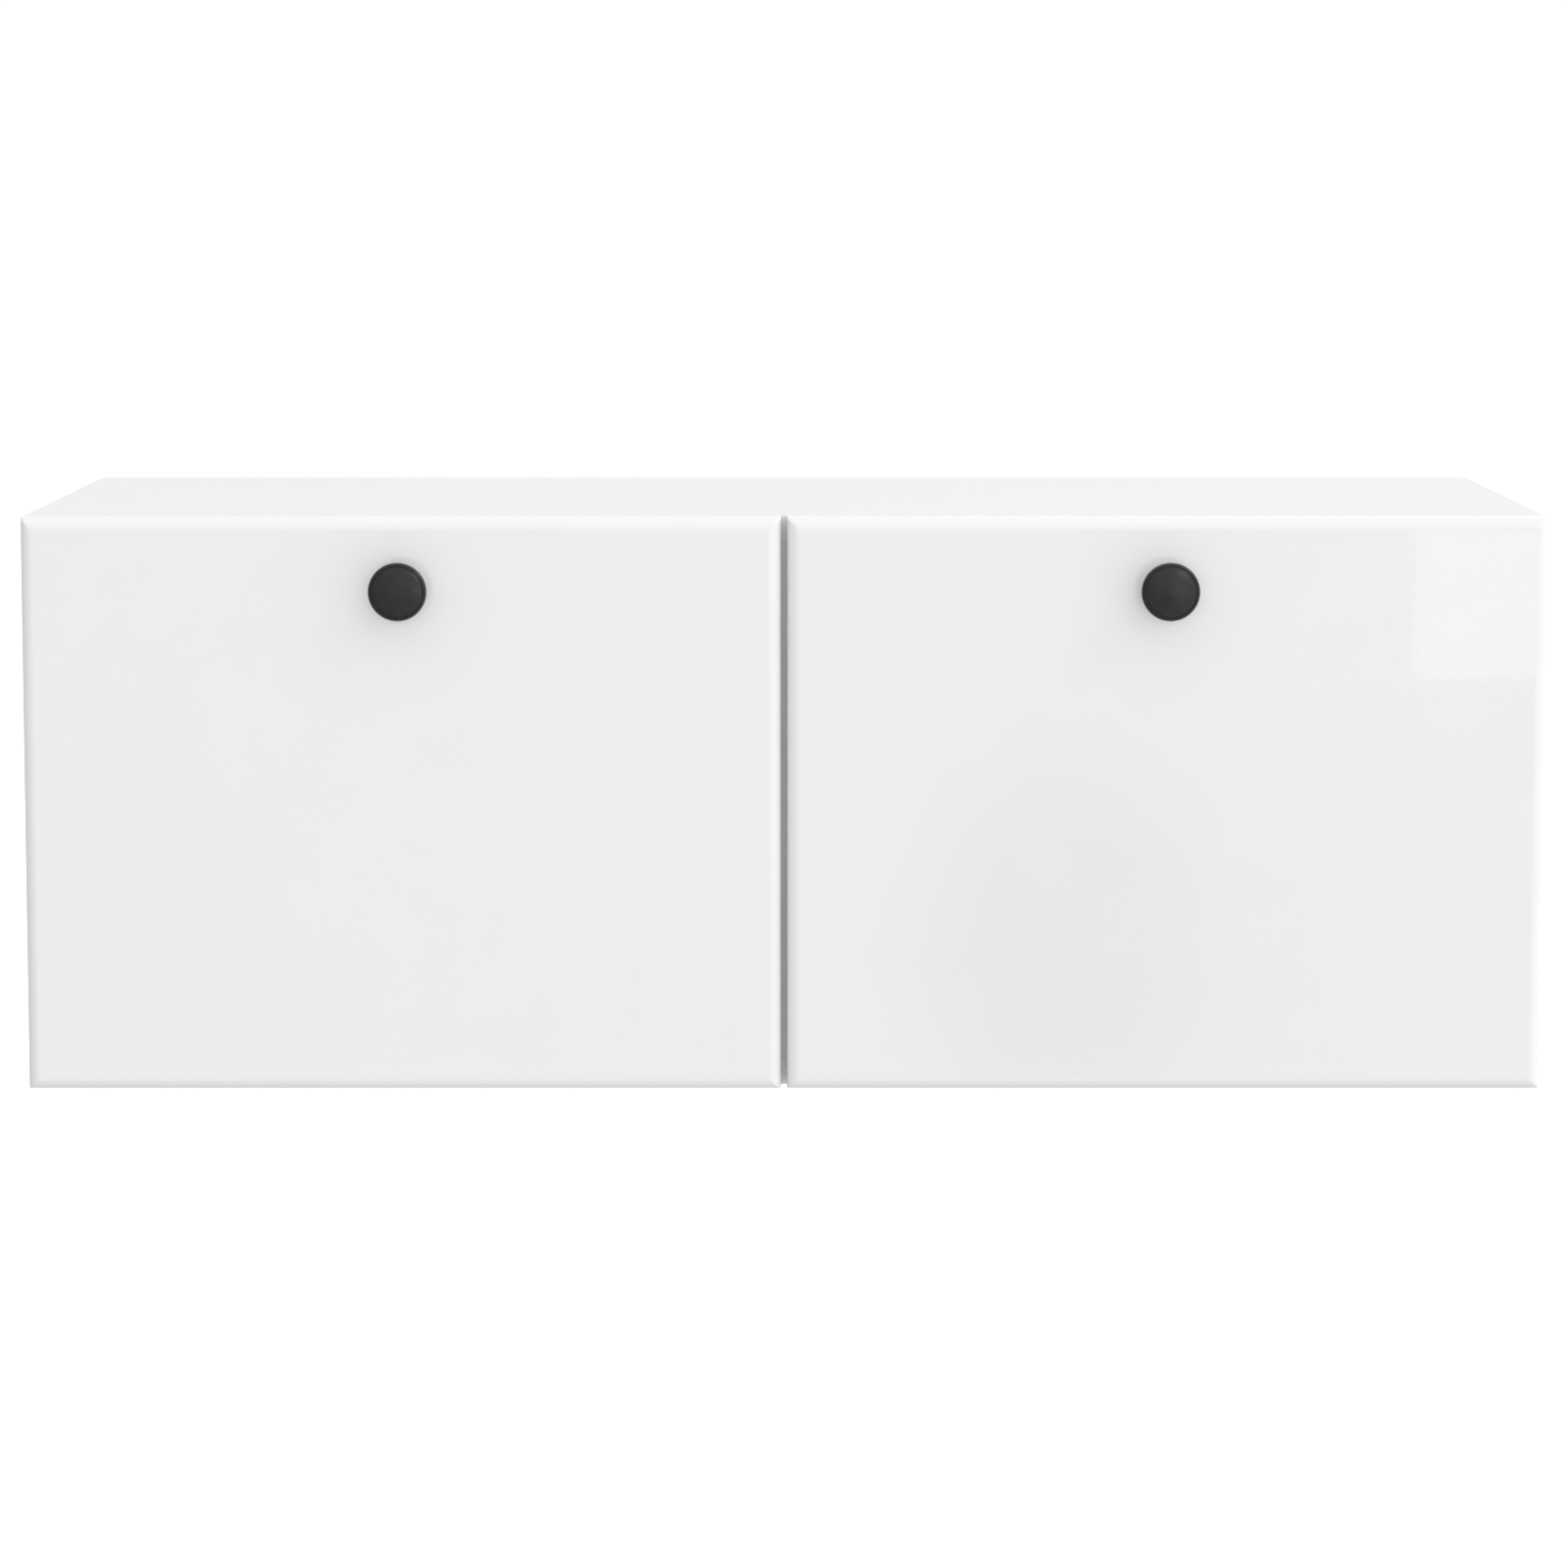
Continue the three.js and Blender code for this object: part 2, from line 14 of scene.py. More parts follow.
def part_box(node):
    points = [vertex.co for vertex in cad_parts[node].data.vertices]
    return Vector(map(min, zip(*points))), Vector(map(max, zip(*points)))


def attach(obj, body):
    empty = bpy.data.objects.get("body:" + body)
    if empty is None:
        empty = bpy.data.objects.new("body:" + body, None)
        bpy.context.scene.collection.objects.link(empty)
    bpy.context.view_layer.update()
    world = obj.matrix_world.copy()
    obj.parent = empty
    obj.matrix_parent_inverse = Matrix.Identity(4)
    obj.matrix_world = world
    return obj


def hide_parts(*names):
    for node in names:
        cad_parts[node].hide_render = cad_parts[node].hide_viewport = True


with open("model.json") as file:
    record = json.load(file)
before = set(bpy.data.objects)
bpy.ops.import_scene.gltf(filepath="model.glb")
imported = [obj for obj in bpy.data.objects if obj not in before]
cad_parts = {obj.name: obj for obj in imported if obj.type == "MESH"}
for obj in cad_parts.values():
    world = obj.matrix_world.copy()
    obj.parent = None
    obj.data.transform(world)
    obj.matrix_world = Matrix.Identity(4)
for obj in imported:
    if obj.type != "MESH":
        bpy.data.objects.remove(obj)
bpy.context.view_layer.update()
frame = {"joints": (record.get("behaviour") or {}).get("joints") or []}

MM = 0.001
SIDES = {"left": -1, "right": 1}
HINGES = ("outer", "inner")
JOINTS = {joint["name"]: joint for joint in frame["joints"]}

# ---------------------------------------------------------------- sizes, in millimetres
ROUND_STEPS = 48  # facets of a round thing, unless another number is given
SMALL_STEPS = 24  # facets of a screw, a pin or a small hole
CORNER_STEPS = 5  # facets of a rounded corner in an outline
PAST = 1.0  # how far a cutting shape reaches past what it cuts


# ---------------------------------------------------------------- places from the frame
def box_mm(node):
    low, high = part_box(node)
    return low / MM, high / MM


def centre_mm(node):
    low, high = box_mm(node)
    return (low + high) / 2


def joint_mm(name):
    return Vector(JOINTS[name]["pos_m"]) / MM


def outer_inner(node, sign):
    """A node's two ends in X: the one away from the middle of the cabinet, then the one towards it."""
    low, high = box_mm(node)
    return (high.x, low.x) if sign > 0 else (low.x, high.x)


def hinge_place(side, which):
    """Where a hinge crosses its flap's axis."""
    place = joint_mm(f"{side}_flap_hinge")
    place.x = centre_mm(f"{side}_{which}_hinge_arm").x
    return place


# ---------------------------------------------------------------- materials
NOISE_LOW, NOISE_HIGH = 0.3, 0.7  # most of a noise texture's values lie between these


def new_material(name, colour, roughness, metallic=0.0, **sockets):
    """A Principled material; further values go straight to the shader's own sockets."""
    material = bpy.data.materials.new(name)
    material.use_nodes = True
    shader = material.node_tree.nodes["Principled BSDF"]
    shader.inputs["Base Color"].default_value = (*colour, 1.0)
    shader.inputs["Roughness"].default_value = roughness
    shader.inputs["Metallic"].default_value = metallic
    for socket, value in sockets.items():
        shader.inputs[socket.replace("_", " ").title().replace("Ior", "IOR")].default_value = value
    return material


def add_node(material, kind, **inputs):
    node = material.node_tree.nodes.new(kind)
    for socket, value in inputs.items():
        node.inputs[socket.replace("_", " ").title()].default_value = value
    return node


def wire(material, source, target):
    material.node_tree.links.new(source, target)


def shader_of(material):
    return material.node_tree.nodes["Principled BSDF"]


def noise(material, scale, detail=3.0, stretch=(1.0, 1.0, 1.0)):
    """Noise in the object's own space; scale is cells per metre."""
    place = add_node(material, "ShaderNodeTexCoord")
    mapping = add_node(material, "ShaderNodeMapping")
    mapping.inputs["Scale"].default_value = stretch
    texture = add_node(material, "ShaderNodeTexNoise", scale=scale, detail=detail)
    wire(material, place.outputs["Object"], mapping.inputs["Vector"])
    wire(material, mapping.outputs["Vector"], texture.inputs["Vector"])
    return texture.outputs["Fac"]


def spread(material, value, low, high):
    """Maps noise to low..high."""
    remap = add_node(
        material, "ShaderNodeMapRange", from_min=NOISE_LOW, from_max=NOISE_HIGH, to_min=low, to_max=high,
    )
    wire(material, value, remap.inputs["Value"])
    return remap.outputs["Result"]


def vary_colour(material, value, first, second):
    ramp = add_node(material, "ShaderNodeValToRGB")
    ramp.color_ramp.elements[0].position = NOISE_LOW
    ramp.color_ramp.elements[1].position = NOISE_HIGH
    ramp.color_ramp.elements[0].color = (*first, 1.0)
    ramp.color_ramp.elements[1].color = (*second, 1.0)
    wire(material, value, ramp.inputs["Fac"])
    wire(material, ramp.outputs["Color"], shader_of(material).inputs["Base Color"])


def vary_roughness(material, value, low, high):
    wire(material, spread(material, value, low, high), shader_of(material).inputs["Roughness"])


def relief(material, value, depth, strength=1.0, under=None, coat=False):
    """Bump of the given depth in metres; under is an earlier bump that it lies on."""
    bump = add_node(material, "ShaderNodeBump", strength=strength, distance=depth)
    wire(material, value, bump.inputs["Height"])
    if under:
        wire(material, under, bump.inputs["Normal"])
    wire(material, bump.outputs["Normal"], shader_of(material).inputs["Normal"])
    if coat:
        wire(material, bump.outputs["Normal"], shader_of(material).inputs["Coat Normal"])
    return bump.outputs["Normal"]


def gloss_foil():
    """White gloss foil over board: a very slight orange peel under a clear, hard surface."""
    material = new_material(
        "gloss_foil", (0.80, 0.80, 0.80), 0.2,
        coat_weight=1.0, coat_roughness=0.02, coat_ior=1.6, specular_ior_level=0.1,
    )
    vary_colour(material, noise(material, 25.0, 4.0), (0.797, 0.797, 0.797), (0.803, 0.803, 0.803))
    vary_roughness(material, noise(material, 60.0, 4.0), 0.16, 0.26)
    relief(material, noise(material, 420.0, 1.0), 0.000008, coat=True)
    return material


def melamine():
    """White melamine face: a fine pearl texture that breaks up the sheen."""
    material = new_material("melamine", (0.79, 0.79, 0.79), 0.42)
    vary_colour(material, noise(material, 30.0, 4.0), (0.786, 0.786, 0.786), (0.794, 0.794, 0.794))
    vary_roughness(material, noise(material, 900.0, 2.0), 0.36, 0.5)
    pearl = relief(material, noise(material, 1500.0, 2.0), 0.00003)
    relief(material, noise(material, 260.0, 2.0), 0.00002, under=pearl)
    return material


def edge_band():
    """Plastic edging: smoother than the faces, with a faint run along its length."""
    material = new_material("edge_band", (0.79, 0.79, 0.79), 0.32)
    vary_colour(material, noise(material, 40.0), (0.785, 0.785, 0.785), (0.797, 0.797, 0.797))
    vary_roughness(material, noise(material, 300.0), 0.28, 0.4)
    relief(material, noise(material, 700.0, 2.0), 0.000015)
    return material


def raw_hardboard():
    """The unpainted side of the back: pressed brown fibre with darker specks."""
    material = new_material("raw_hardboard", (0.33, 0.22, 0.13), 0.85)
    fibres = noise(material, 700.0, 6.0, (1.0, 1.0, 0.35))
    vary_colour(material, fibres, (0.25, 0.16, 0.09), (0.42, 0.30, 0.19))
    relief(material, fibres, 0.00012)
    return material


def raw_board():
    """Cut wood fibre, seen only where something is bored."""
    material = new_material("raw_board", (0.45, 0.34, 0.22), 0.9)
    grain = noise(material, 900.0, 5.0)
    vary_colour(material, grain, (0.33, 0.24, 0.15), (0.55, 0.43, 0.30))
    relief(material, grain, 0.0002)
    return material


def painted_back():
    """The painted side of the back: matt white with the fibre just showing through."""
    material = new_material("painted_back", (0.78, 0.78, 0.77), 0.55)
    fibres = noise(material, 500.0, 5.0)
    vary_colour(material, fibres, (0.765, 0.765, 0.755), (0.795, 0.795, 0.785))
    vary_roughness(material, fibres, 0.48, 0.64)
    relief(material, fibres, 0.00005)
    return material


def knob_black():
    """Fine satin black powder coat."""
    material = new_material("knob_black", (0.011, 0.011, 0.0115), 0.25)
    vary_colour(material, noise(material, 180.0), (0.0085, 0.0085, 0.009), (0.0135, 0.0135, 0.014))
    vary_roughness(material, noise(material, 500.0), 0.2, 0.3)
    relief(material, noise(material, 1700.0, 2.0), 0.00002)
    return material


def plated(name, first, second, low, high):
    """Plated steel: slightly cloudy reflections and a very fine tooth."""
    material = new_material(name, first, low, 1.0)
    vary_colour(material, noise(material, 120.0, 3.0), first, second)
    vary_roughness(material, noise(material, 450.0, 3.0), low, high)
    relief(material, noise(material, 2200.0, 2.0), 0.000004)
    return material


def moulded(name, first, second):
    """Moulded plastic with a spark-eroded texture."""
    material = new_material(name, first, 0.5)
    vary_colour(material, noise(material, 60.0), first, second)
    texture = noise(material, 1400.0, 2.0)
    vary_roughness(material, texture, 0.42, 0.6)
    relief(material, texture, 0.00004)
    return material


def silicone():
    """Clear soft rubber, milky with use."""
    material = new_material(
        "silicone", (0.78, 0.78, 0.76), 0.3, transmission_weight=0.35, subsurface_weight=0.2,
    )
    shader_of(material).inputs["Subsurface Radius"].default_value = (2 * MM, 2 * MM, 2 * MM)
    vary_roughness(material, noise(material, 400.0), 0.25, 0.42)
    relief(material, noise(material, 900.0), 0.00002)
    return material


def magnet_black():
    """Dark, dusty ferrite."""
    material = new_material("magnet_black", (0.03, 0.03, 0.032), 0.55)
    vary_colour(material, noise(material, 500.0, 5.0), (0.022, 0.022, 0.024), (0.05, 0.05, 0.052))
    relief(material, noise(material, 1500.0), 0.00005)
    return material


FOIL = gloss_foil()
MELAMINE = melamine()
BAND = edge_band()
HARDBOARD = raw_hardboard()
RAW_BOARD = raw_board()
PAINTED_BACK = painted_back()
KNOB_BLACK = knob_black()
NICKEL = plated("nickel", (0.67, 0.66, 0.64), (0.72, 0.71, 0.69), 0.18, 0.28)
ZINC = plated("zinc", (0.60, 0.61, 0.63), (0.68, 0.69, 0.71), 0.28, 0.42)
WHITE_PLASTIC = moulded("white_plastic", (0.76, 0.76, 0.75), (0.79, 0.79, 0.78))
GREY_PLASTIC = moulded("grey_plastic", (0.19, 0.20, 0.205), (0.22, 0.225, 0.235))
SILICONE = silicone()
MAGNET = magnet_black()


# ---------------------------------------------------------------- outlines
def turn_towards(start, end):
    """The shorter way round from one angle to another."""
    return (end - start + math.pi) % (2 * math.pi) - math.pi


def fillet(points, closed=True, steps=CORNER_STEPS):
    """Rounds an outline's corners. A point is (u, v) where it stays sharp, or (u, v, radius)."""
    rounded = []
    count = len(points)
    for i, point in enumerate(points):
        here = Vector(point[:2])
        radius = point[2] if len(point) > 2 else 0.0
        if not radius or (not closed and i in (0, count - 1)):
            rounded.append(here)
            continue
        back = (Vector(points[i - 1][:2]) - here).normalized()
        ahead = (Vector(points[(i + 1) % count][:2]) - here).normalized()
        half = back.angle(ahead) / 2
        centre = here + (back + ahead).normalized() * radius / math.sin(half)
        start = here + back * radius / math.tan(half) - centre
        end = here + ahead * radius / math.tan(half) - centre
        first = math.atan2(start.y, start.x)
        sweep = turn_towards(first, math.atan2(end.y, end.x))
        for step in range(steps + 1):
            angle = first + sweep * step / steps
            rounded.append(centre + radius * Vector((math.cos(angle), math.sin(angle))))
    return rounded


def rectangle(low, high, radius=0.0):
    corners = [(low[0], low[1]), (high[0], low[1]), (high[0], high[1]), (low[0], high[1])]
    return fillet([(*corner, radius) for corner in corners])


def circle(centre, radius, steps):
    angles = [2 * math.pi * step / steps for step in range(steps)]
    return [Vector((centre[0] + radius * math.cos(a), centre[1] + radius * math.sin(a))) for a in angles]


def bar(start, end, start_r, end_r, steps):
    """A flat bar with round ends: two circles joined by their outer tangents."""
    start, end = Vector(start), Vector(end)
    along = math.atan2(end.y - start.y, end.x - start.x)
    half = math.acos((start_r - end_r) / (end - start).length)
    outline = []
    for step in range(steps + 1):
        angle = along + half + (2 * math.pi - 2 * half) * step / steps
        outline.append(start + start_r * Vector((math.cos(angle), math.sin(angle))))
    for step in range(steps + 1):
        angle = along - half + 2 * half * step / steps
        outline.append(end + end_r * Vector((math.cos(angle), math.sin(angle))))
    return outline


# ---------------------------------------------------------------- solids
ON_AXIS = 1e-6  # a radius below this is a point on the axis
WELD = 1e-4  # points nearer than this are one point
AXIS_ORDER = {
    "X": lambda u, v, w: (w, u, v),
    "Y": lambda u, v, w: (u, w, v),
    "Z": lambda u, v, w: (u, v, w),
}


def outward(mesh):
    """Turns a closed solid's faces outwards."""
    bmesh.ops.recalc_face_normals(mesh, faces=mesh.faces)
    return mesh


def prism(outline, axis, low, high):
    """An outline extruded along an axis; its (u, v) are the other two axes in X, Y, Z order."""
    mesh = bmesh.new()
    order = AXIS_ORDER[axis]
    ends = [[mesh.verts.new(order(p[0], p[1], w)) for p in outline] for w in (low, high)]
    for ring in ends:
        mesh.faces.new(ring)
    count = len(outline)
    for i in range(count):
        j = (i + 1) % count
        mesh.faces.new((ends[0][i], ends[0][j], ends[1][j], ends[1][i]))
    return outward(mesh)


def block(low, high, radius=0.0, axis="Z"):
    """A box, with the edges along one axis rounded."""
    first, second, along = {"X": (1, 2, 0), "Y": (0, 2, 1), "Z": (0, 1, 2)}[axis]
    low_uv = (min(low[first], high[first]), min(low[second], high[second]))
    high_uv = (max(low[first], high[first]), max(low[second], high[second]))
    return prism(rectangle(low_uv, high_uv, radius), axis, low[along], high[along])


def rod(axis, radius, low, high, centre=(0.0, 0.0), steps=ROUND_STEPS):
    return prism(circle(centre, radius, steps), axis, low, high)


def lathe(profile, steps=ROUND_STEPS):
    """A turned solid about the Y axis, from (radius, y) points that start and end on the axis."""
    mesh = bmesh.new()
    rings = []
    for radius, y in profile:
        if radius < ON_AXIS:
            rings.append([mesh.verts.new((0.0, y, 0.0))])
            continue
        angles = [2 * math.pi * step / steps for step in range(steps)]
        rings.append([mesh.verts.new((radius * math.sin(a), y, radius * math.cos(a))) for a in angles])
    for lower, upper in zip(rings, rings[1:]):
        for i in range(steps):
            j = (i + 1) % steps
            corners = [
                lower[i % len(lower)], lower[j % len(lower)],
                upper[j % len(upper)], upper[i % len(upper)],
            ]
            mesh.faces.new(list(dict.fromkeys(corners)))
    return outward(mesh)


def moved(mesh, place, turn=None):
    if turn:
        bmesh.ops.transform(mesh, matrix=turn, verts=mesh.verts)
    bmesh.ops.translate(mesh, vec=Vector(place), verts=mesh.verts)
    return mesh


def together(*meshes):
    """Several separate solids in one mesh."""
    whole = bmesh.new()
    for mesh in meshes:
        part = bpy.data.meshes.new("part")
        mesh.to_mesh(part)
        mesh.free()
        whole.from_mesh(part)
        bpy.data.meshes.remove(part)
    return whole


def as_object(mesh, name="part"):
    data = bpy.data.meshes.new(name)
    mesh.to_mesh(data)
    mesh.free()
    obj = bpy.data.objects.new(name, data)
    bpy.context.scene.collection.objects.link(obj)
    return obj


def combine(operation, base, *tools):
    """Joins or cuts solids with Blender's exact boolean."""
    body = as_object(base)
    helpers = [as_object(tool) for tool in tools]
    for helper in helpers:
        modifier = body.modifiers.new("boolean", "BOOLEAN")
        modifier.operation = operation
        modifier.solver = "EXACT"
        modifier.object = helper
    graph = bpy.context.evaluated_depsgraph_get()
    result = bmesh.new()
    result.from_object(body, graph)
    for obj in (body, *helpers):
        data = obj.data
        bpy.data.objects.remove(obj)
        bpy.data.meshes.remove(data)
    bmesh.ops.remove_doubles(result, verts=result.verts, dist=WELD)
    return result


def cut(base, *tools):
    return combine("DIFFERENCE", base, *tools)


def join(base, *tools):
    return combine("UNION", base, *tools)


# ---------------------------------------------------------------- pieces
SHARP = math.radians(32)  # edges that turn by more than this stay sharp, or are bevelled


def make_piece(name, mesh, material, body, replaces=(), edge=0.0, segments=2, extra=()):
    """Turns a solid in millimetres into a piece of the object, with its edges rounded by edge."""
    bmesh.ops.scale(mesh, vec=(MM, MM, MM), verts=mesh.verts)
    for face in mesh.faces:
        face.smooth = True
    for line in mesh.edges:
        line.smooth = len(line.link_faces) == 2 and line.calc_face_angle(0.0) < SHARP
    piece = as_object(mesh, name)
    for part in (material, *extra):
        piece.data.materials.append(part)
    if edge:
        bevel = piece.modifiers.new("soft_edges", "BEVEL")
        bevel.width = edge * MM
        bevel.segments = segments
        bevel.limit_method = "ANGLE"
        bevel.angle_limit = SHARP
        bevel.miter_outer = "MITER_ARC"
    flatten = piece.modifiers.new("flat_faces", "WEIGHTED_NORMAL")
    flatten.keep_sharp = True
    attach(piece, body)
    if replaces:
        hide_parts(*replaces)
    return piece


# ---------------------------------------------------------------- screws
CROSS_ARM = 0.546  # half the length of a cross recess, in head radii
CROSS_WIDTH = 0.13  # half the width of its slots, in head radii
SUNK_RISE = 0.18  # how far the middle of a countersunk head stands over its seat


def cross(arm, width, bottom, top):
    """The two slots of a cross recess about the Y axis, by half their length and half their width."""
    return [
        block((-arm, bottom, -width), (arm, top, width)),
        block((-width, bottom, -arm), (width, top, arm)),
    ]


def screw_head(radius, height, countersunk=False):
    """A cross-recess head, its top towards +Y and its seat at y = 0."""
    if countersunk:
        top = SUNK_RISE
        profile = [(0, -height), (radius * 0.5, -height), (radius, -0.15), (radius * 0.97, 0.12), (0, top)]
    else:
        top = height
        profile = fillet([
            (0, 0), (radius, 0), (radius, height * 0.35, 0.3), (radius * 0.8, height * 0.85, 0.9), (0, top),
        ], closed=False)
    depth = min(height * 0.75, 1.6)
    recess = cross(radius * CROSS_ARM, radius * CROSS_WIDTH, top - depth, top + PAST)
    return cut(lathe(profile, SMALL_STEPS), *recess)


FACING = {
    "+Y": None,
    "-Y": Matrix.Rotation(math.pi, 4, "X"),
    "+Z": Matrix.Rotation(math.pi / 2, 4, "X"),
    "-Z": Matrix.Rotation(-math.pi / 2, 4, "X"),
    "+X": Matrix.Rotation(-math.pi / 2, 4, "Z"),
    "-X": Matrix.Rotation(math.pi / 2, 4, "Z"),
}


def inward(sign):
    """The facing of something on a side of the cabinet that looks towards its middle."""
    return "-X" if sign > 0 else "+X"


def screws(name, body, places, radius, height, facing, countersunk=False):
    """A piece made of one or more screw heads."""
    heads = [moved(screw_head(radius, height, countersunk), place, FACING[facing]) for place in places]
    make_piece(name, together(*heads), ZINC, body)


# ---------------------------------------------------------------- carcass boards
EDGE_BAND = 0.8  # thickness of the plastic edging
BAND_EDGE = 0.35  # rounding of its edges
BOARD_EDGE = 0.12  # rounding of the boards' own edges
GROOVE_DEPTH = 6.2
GROOVE_PLAY = 0.2
NOTCH_LOW = 142.0  # lower edge of the corner cut out of each back
NOTCH_PLAY = 8.0  # from the hanger's housing to that corner's inner edge
NOTCH_ROUND = 3.0


def groove(x0, x1, z0, z1):
    """The groove that the back sits in, a little wider than the back itself."""
    low, high = box_mm("left_back_panel")
    return block((x0, low.y - GROOVE_PLAY, z0), (x1, high.y + GROOVE_PLAY, z1))


def band_strip(name, low, high):
    make_piece(name, block(low, high), BAND, "carcass", edge=BAND_EDGE)


def faced_board(name, core, grooves):
    """A melamine board with its grooves and the edging on its front."""
    low, high = box_mm(name)
    make_piece(
        name + "_board", cut(core, *grooves), MELAMINE, "carcass",
        replaces=[name], edge=BOARD_EDGE, segments=1,
    )
    band_strip(name + "_front_band", low, (high.x, low.y + EDGE_BAND, high.z))


def level_board(name, inner_way):
    """Top or bottom: full width, grooved on its inner side, edged on the front and both ends."""
    low, high = box_mm(name)
    inner_face = low.z if inner_way < 0 else high.z
    side_face = box_mm("right_side_panel")[0].x
    partition_face = box_mm("centre_partition")[1].x
    core = block(
        (low.x + EDGE_BAND, low.y + EDGE_BAND, low.z),
        (high.x - EDGE_BAND, high.y, high.z),
    )
    grooves = [
        groove(
            sign * (partition_face - GROOVE_DEPTH), sign * (side_face + GROOVE_DEPTH),
            inner_face - GROOVE_DEPTH, inner_face + GROOVE_DEPTH,
        )
        for sign in SIDES.values()
    ]
    faced_board(name, core, grooves)
    for side, sign in SIDES.items():
        outer = outer_inner(name, sign)[0]
        band_strip(
            f"{name}_{side}_band",
            (outer, low.y + EDGE_BAND, low.z),
            (outer - sign * EDGE_BAND, high.y, high.z),
        )


def upright_board(name, inner_faces):
    """Side or partition: grooved where a back meets it, edged on the front."""
    low, high = box_mm(name)
    core = block((low.x, low.y + EDGE_BAND, low.z), high)
    grooves = [
        groove(face - GROOVE_DEPTH, face + GROOVE_DEPTH, low.z - PAST, high.z + PAST) for face in inner_faces
    ]
    faced_board(name, core, grooves)


def back_board(side, sign):
    """Hardboard, painted inside and raw behind, with its upper outer corner cut away for the hook."""
    name = f"{side}_back_panel"
    low, high = box_mm(name)
    outer, inner = outer_inner(name, sign)
    notch = outer_inner(f"{side}_hanger_housing", sign)[1] - sign * NOTCH_PLAY
    outline = fillet([
        (inner, low.z), (outer, low.z), (outer, NOTCH_LOW), (notch, NOTCH_LOW, NOTCH_ROUND),
        (notch, high.z), (inner, high.z),
    ])
    mesh = prism(outline, "Y", low.y, high.y)
    for face in mesh.faces:
        face.material_index = 0 if face.normal.y < -0.5 else 1  # painted, raw
    make_piece(
        f"{side}_back_board", mesh, PAINTED_BACK, "carcass",
        replaces=[name], extra=[HARDBOARD],
    )


CAM_R = 7.5
CAM_PROUD = 0.15
CAM_RISE = 24.0  # from the partition's lower and upper ends to the discs
CAM_FRONT, CAM_REAR = 37.0, 110.0  # from its front and rear edges


def cam_fitting():
    """The turning disc of a board connector, facing +Y: rim, line, flat face, cross recess."""
    base, line = -2, CAM_PROUD - 0.5
    profile = fillet([
        (0, base), (CAM_R, base), (CAM_R, CAM_PROUD, 0.3), (CAM_R - 0.9, CAM_PROUD), (CAM_R - 1.2, line),
        (CAM_R - 1.6, line), (CAM_R - 1.8, CAM_PROUD), (0, CAM_PROUD),
    ], closed=False, steps=3)
    recess = cross(3.6, 0.75, CAM_PROUD - 1.6, CAM_PROUD + PAST)
    pit = rod("Y", 1.9, CAM_PROUD - 1.9, CAM_PROUD + PAST, steps=SMALL_STEPS)
    return cut(lathe(profile, 40), *recess, pit)


def cam_fittings():
    low, high = box_mm("centre_partition")
    faces = [
        ("left_side", box_mm("left_side_panel")[1].x, "+X"),
        ("right_side", box_mm("right_side_panel")[0].x, "-X"),
        ("partition", low.x, "-X"),
    ]
    for name, x, facing in faces:
        places = [
            (x, y, z)
            for y in (low.y + CAM_FRONT, high.y - CAM_REAR)
            for z in (low.z + CAM_RISE, high.z - CAM_RISE)
        ]
        discs = [moved(cam_fitting(), place, FACING[facing]) for place in places]
        make_piece(f"{name}_cams", together(*discs), ZINC, "carcass")


def carcass():
    level_board("top_panel", -1)
    level_board("bottom_panel", 1)
    low, high = box_mm("centre_partition")
    upright_board("centre_partition", [low.x, high.x])
    for side, sign in SIDES.items():
        upright_board(f"{side}_side_panel", [outer_inner(f"{side}_side_panel", sign)[1]])
    for side, sign in SIDES.items():
        back_board(side, sign)
    cam_fittings()


# ---------------------------------------------------------------- hangers
HANGER_SCREW_Y = 12.0  # from the housing's front to its screws
HANGER_SCREW_RISES = (9.0, 22.0)  # from the housing's underside to its screws
PLATE_STEEL = 2.0
PLATE_BENDS = (34.0, 39.0)  # from the plate's lower edge to the ends of its bent part
HOOK_GAP = 0.8  # between the plate's upper lip and the hook's


def hanger(side, sign):
    """A housing with a line round its face and two screws in wells; its hook, and the plate on the wall."""
    housing = f"{side}_hanger_housing"
    low, high = box_mm(housing)
    face = outer_inner(housing, sign)[1]
    hook_low, hook_high = box_mm(f"{side}_hanger_hook")
    shell = block(low, high, 3.0, "X")
    room = block(
        (hook_low.x - 1, hook_low.y - 2, hook_low.z - 4),
        (hook_high.x + 1, high.y + PAST, hook_high.z + 2),
    )
    screw_places = [(low.y + HANGER_SCREW_Y, low.z + rise) for rise in HANGER_SCREW_RISES]
    well_floor = face + sign * 2.4
    wells = [rod("X", 4.2, well_floor, face - sign * PAST, place) for place in screw_places]
    outside, inside = 3.4, 4.0  # from the housing's edges to the line's two edges
    line = cut(
        block(
            (face + sign * 0.7, low.y + outside, low.z + outside),
            (face - sign * PAST, high.y - outside, high.z - outside), 2.4, "X",
        ),
        block(
            (face + sign * 0.8, low.y + inside, low.z + inside),
            (face - sign * 2 * PAST, high.y - inside, high.z - inside), 2.0, "X",
        ),
    )
    make_piece(
        f"{side}_hanger_shell", cut(shell, room, line, *wells), WHITE_PLASTIC, "carcass",
        replaces=[housing], edge=0.5,
    )
    heads = [(well_floor, *place) for place in screw_places]
    screws(f"{side}_hanger_screws", "carcass", heads, 3.6, 1.6, inward(sign))
    hook_piece(side)
    wall_plate(side)


